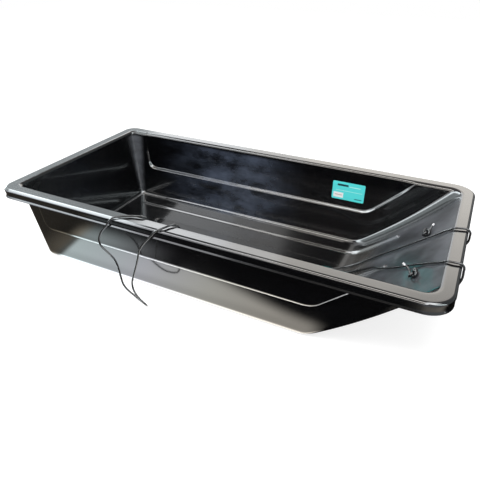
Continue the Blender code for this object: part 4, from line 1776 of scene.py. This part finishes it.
# From the light that is mirrored towards the sled's back to the light towards its front.
LIGHT_PANELS = (
    LightPanel(-2.00, -1.50, Tint.SKY, (
        (0.00, 0.10), (0.05, 1.50), (0.12, 1.50), (0.18, 0.10), (0.75, 0.12), (1.00, 0.12))),
    LightPanel(-0.88, -0.84, Tint.SKY, (
        (0.000, 0.04), (0.160, 0.06), (0.225, 0.07), (0.240, 0.05), (0.262, 0.12),
        (1.000, 0.12))),
    LightPanel(-0.78, -0.73, Tint.PALE_SKY, (
        (0.000, 0.03), (0.160, 0.06), (0.225, 0.07), (0.240, 0.05), (0.262, 0.60),
        (0.820, 0.60), (0.880, 0.40), (0.970, 0.34), (1.000, 0.30))),
    LightPanel(-0.59, -0.55, Tint.DAYLIGHT, (
        (0.00, 0.10), (0.10, 0.12), (0.13, 0.14), (0.17, 0.17), (0.20, 0.24), (0.232, 0.24),
        (0.246, 0.0), (0.58, 0.0), (0.62, 0.28), (0.70, 0.28), (0.74, 0.45), (0.78, 0.45),
        (0.81, 0.08), (0.92, 0.08), (0.955, 0.18), (1.00, 0.18))),
    LightPanel(-0.42, -0.38, Tint.IVORY, (
        (0.00, 0.08), (0.13, 0.11), (0.20, 0.19), (0.232, 0.19), (0.25, 0.03), (0.56, 0.03),
        (0.58, 0.90), (0.610, 0.90), (0.630, 0.04), (0.70, 0.04), (0.74, 0.34), (0.80, 0.34),
        (0.86, 0.20), (0.89, 0.03), (1.00, 0.01))),
    LightPanel(-0.31, -0.28, Tint.CREAM, (
        (0.00, 0.05), (0.13, 0.13), (0.20, 0.147), (0.232, 0.145), (0.25, 0.03), (0.56, 0.03),
        (0.58, 0.90), (0.610, 0.90), (0.630, 0.04), (0.74, 0.02), (0.80, 0.02), (0.825, 0.40),
        (0.87, 0.38), (0.895, 0.01), (1.00, 0.01))),
    LightPanel(-0.10, 0.02, Tint.CREAM, (
        (0.00, 0.05), (0.13, 0.135), (0.17, 0.145), (0.20, 0.11), (0.232, 0.085), (0.25, 0.02),
        (0.56, 0.03), (0.58, 0.80), (0.610, 0.80), (0.630, 0.04), (0.74, 0.02), (0.80, 0.02),
        (0.825, 0.40), (0.87, 0.38), (0.895, 0.01), (1.00, 0.01))),
    LightPanel(0.08, 0.20, Tint.MIST, (
        (0.00, 0.02), (0.38, 0.02), (0.42, 0.55), (0.82, 0.55), (0.86, 0.03), (1.00, 0.03))),
    LightPanel(0.28, 0.34, Tint.MIST, (
        (0.00, 0.02), (0.41, 0.02), (0.45, 0.60), (0.66, 0.60), (0.69, 0.03), (1.00, 0.03))),
    LightPanel(0.40, 0.60, Tint.SKY, (
        (0.00, 0.02), (0.53, 0.02), (0.57, 0.50), (0.70, 0.50), (0.73, 0.04), (1.00, 0.04))),
)


@dataclass(frozen=True)
class PaperFloor:
    """The pale floor, bright close to the sled where a glossy face mirrors it.

    Each edge of its bright places gives the two coordinates in metres between which it
    changes.
    """

    half_size: float = 6.0
    grey: float = 0.42
    shown_strength: float = 0.74
    mirrored_strength: float = 3.6

    @staticmethod
    def _beside(x: Wire, y: Wire) -> Wire:
        """Light the strips along the sled's two long sides.

        Args:
            x: The floor's x.
            y: The floor's y.

        Returns:
            How bright the strips are.
        """
        length = x.after(-0.475, -0.450) * 0.84 + x.after(-0.60, -0.46) * 0.16
        length = length * x.before(0.275, 0.335)
        under = 1 - y.after(-0.275, -0.250) * 0.18 + y.after(-0.242, -0.234)
        slant = y - x.after(-0.12, 0.32) * 0.062
        near = slant.after(-0.358, -0.312) * y.before(-0.228, -0.222)
        far = y.after(0.225, 0.24) * y.before(0.30, 0.36) * 0.3
        return (near + far) * length * under * 0.88

    def _brightness(self, x: Wire, y: Wire) -> Wire:
        """Light all of the floor's bright places.

        Args:
            x: The floor's x.
            y: The floor's y.

        Returns:
            How bright the floor is where a glossy face mirrors it.
        """
        patch = (x.after(-0.54, -0.45) * x.before(-0.43, -0.12)
                 * y.after(-0.445, -0.375) * y.before(-0.375, -0.33))
        behind = x.before(-0.62, -0.45) * y.after(-0.60, -0.45)
        ahead = x.after(0.46, 0.60) * y.before(-0.30, -0.15)
        away = x.before(-1.7, -0.6) * y.before(-0.95, -0.65)
        spots = patch * 0.55 + behind * 0.03 + ahead * 0.22 + away * 0.7
        return self._beside(x, y) + spots + 0.002

    @staticmethod
    def _tint(board: NodeBoard, x: Wire, y: Wire) -> Wire:
        """Tint the mirrored floor, cool beside the sled's back and warm beside its front.

        It is warm behind the sled too, and cool further out on the near side.

        Args:
            board: The nodes to add to.
            x: The floor's x.
            y: The floor's y.

        Returns:
            The colour.
        """
        stops = [(0.0, (0.72, 0.84, 0.85)), (0.3, (0.84, 0.86, 0.92)),
                 (0.7, (0.84, 0.83, 0.76)), (1.0, (0.75, 0.70, 0.62))]
        tint = board.ramp(x.after(-0.5, 0.3), stops)
        tint = board.blend(x.after(-0.50, -0.455), (0.9, 0.8, 0.62), tint)
        return board.blend(y.after(-0.65, -0.60), (0.84, 0.88, 1.0), tint)

    def _material(self) -> bpy.types.Material:
        """Build the floor's material.

        Returns:
            The material, which gives a glossy face its own light.
        """
        material = bpy.data.materials.new("paper_floor")
        board = NodeBoard(material)
        x, y, _ = board.parts(board.place())
        strength = self._brightness(x, y) * self.mirrored_strength
        mirrored = board.glow("Emission", self._tint(board, x, y), strength)
        paper_inputs = {"Color": (self.grey, self.grey, self.grey, 1.0)}
        paper = board.node("ShaderNodeBsdfDiffuse", {}, paper_inputs)
        glow = board.glow("Emission", WHITE, self.shown_strength)
        shown = board.node("ShaderNodeAddShader", {}, {0: paper, 1: glow})
        board.finish(board.mixed(board.ray("Is Glossy Ray"), shown, mirrored))
        return material

    def add(self) -> None:
        """Add the floor, which isn't part of the sled."""
        bm = bmesh.new()
        bmesh.ops.create_grid(bm, x_segments=2, y_segments=2, size=self.half_size)
        mesh = finished_mesh("floor", bm)
        material = self._material()
        add_object("floor", mesh, material)


@dataclass
class Studio:
    """A pale floor, a soft surround, one soft box and the camera."""

    camera_place: Point = (0.5209, -1.0350, 0.7621)
    yaw: float = math.radians(-26.435)
    pitch: float = math.radians(-31.248)
    roll: float = math.radians(0.104)
    lens: float = 36.04
    sensor_width: float = 36.0
    clip_start: float = 0.01
    panels: tuple[LightPanel, ...] = LIGHT_PANELS
    mirrored_strength: float = 16.0
    soft_strength: float = 0.95
    lamp_place: Point = (-0.3, -1.0, 1.9)
    lamp_size: Pair = (2.5, 1.2)
    lamp_power: float = 60.0

    def add_camera(self) -> None:
        """Add the camera at the photograph's angle."""
        data = bpy.data.cameras.new("camera")
        data.lens = self.lens
        data.sensor_width = self.sensor_width
        data.clip_start = self.clip_start
        camera = bpy.data.objects.new("camera", data)
        bpy.context.scene.collection.objects.link(camera)
        forward = Vector((math.sin(self.yaw) * math.cos(self.pitch),
                          math.cos(self.yaw) * math.cos(self.pitch), math.sin(self.pitch)))
        turn = forward.to_track_quat("-Z", "Y").to_matrix().to_4x4()
        camera.matrix_world = (Matrix.Translation(self.camera_place) @ turn
                               @ Matrix.Rotation(self.roll, 4, "Z"))
        bpy.context.scene.camera = camera

    def add_surround(self) -> None:
        """Add the soft surround: white to the camera, panels of light to a glossy face."""
        world = bpy.data.worlds.new("surround")
        bpy.context.scene.world = world
        board = NodeBoard(world)
        x, y, z = board.parts(board.place("Generated"))
        over = z.angle(y) / math.pi
        light = (0.0, 0.0, 0.0)
        for panel in self.panels:
            ramp = board.ramp(over, panel.coloured_stops())
            light = board.blend(x.after(panel.start, panel.end), light, ramp)
        glossy = board.glow("Background", light, self.mirrored_strength)
        plain = board.glow("Background", WHITE, self.soft_strength)
        white = board.glow("Background", WHITE, 1.0)
        lit = board.mixed(board.ray("Is Glossy Ray"), plain, glossy)
        board.finish(board.mixed(board.ray("Is Camera Ray"), lit, white))

    def add_lamp(self) -> None:
        """Add a level soft box above the floor on the near side, which isn't mirrored."""
        data = bpy.data.lights.new("key_lamp", "AREA")
        data.shape = "RECTANGLE"
        data.size, data.size_y = self.lamp_size
        data.energy = self.lamp_power
        lamp = bpy.data.objects.new("key_lamp", data)
        lamp.location = self.lamp_place
        lamp.visible_glossy = False
        bpy.context.scene.collection.objects.link(lamp)

    def build(self) -> None:
        """Add everything around the sled."""
        bpy.context.scene.view_settings.view_transform = "Standard"
        self.add_surround()
        PaperFloor().add()
        self.add_lamp()


def main() -> None:
    """Build the sled's looks and log each piece."""
    logging.basicConfig(level=logging.INFO, format="%(message)s")
    studio = Studio()
    studio.add_camera()
    form = TubForm()
    shell = TubShell(form, Beads(form))
    tube = CordTube()
    braid = BraidedCord().make()
    cut_end = CutFibre().make()
    knots = [knot.build(tube, braid, cut_end) for knot in stopper_knots(shell)]
    TowRope(shell, tube).build(braid, knots)
    shell.build(MouldedPlastic().make())
    Label().dress()
    studio.build()


if __name__ == "__main__":
    main()
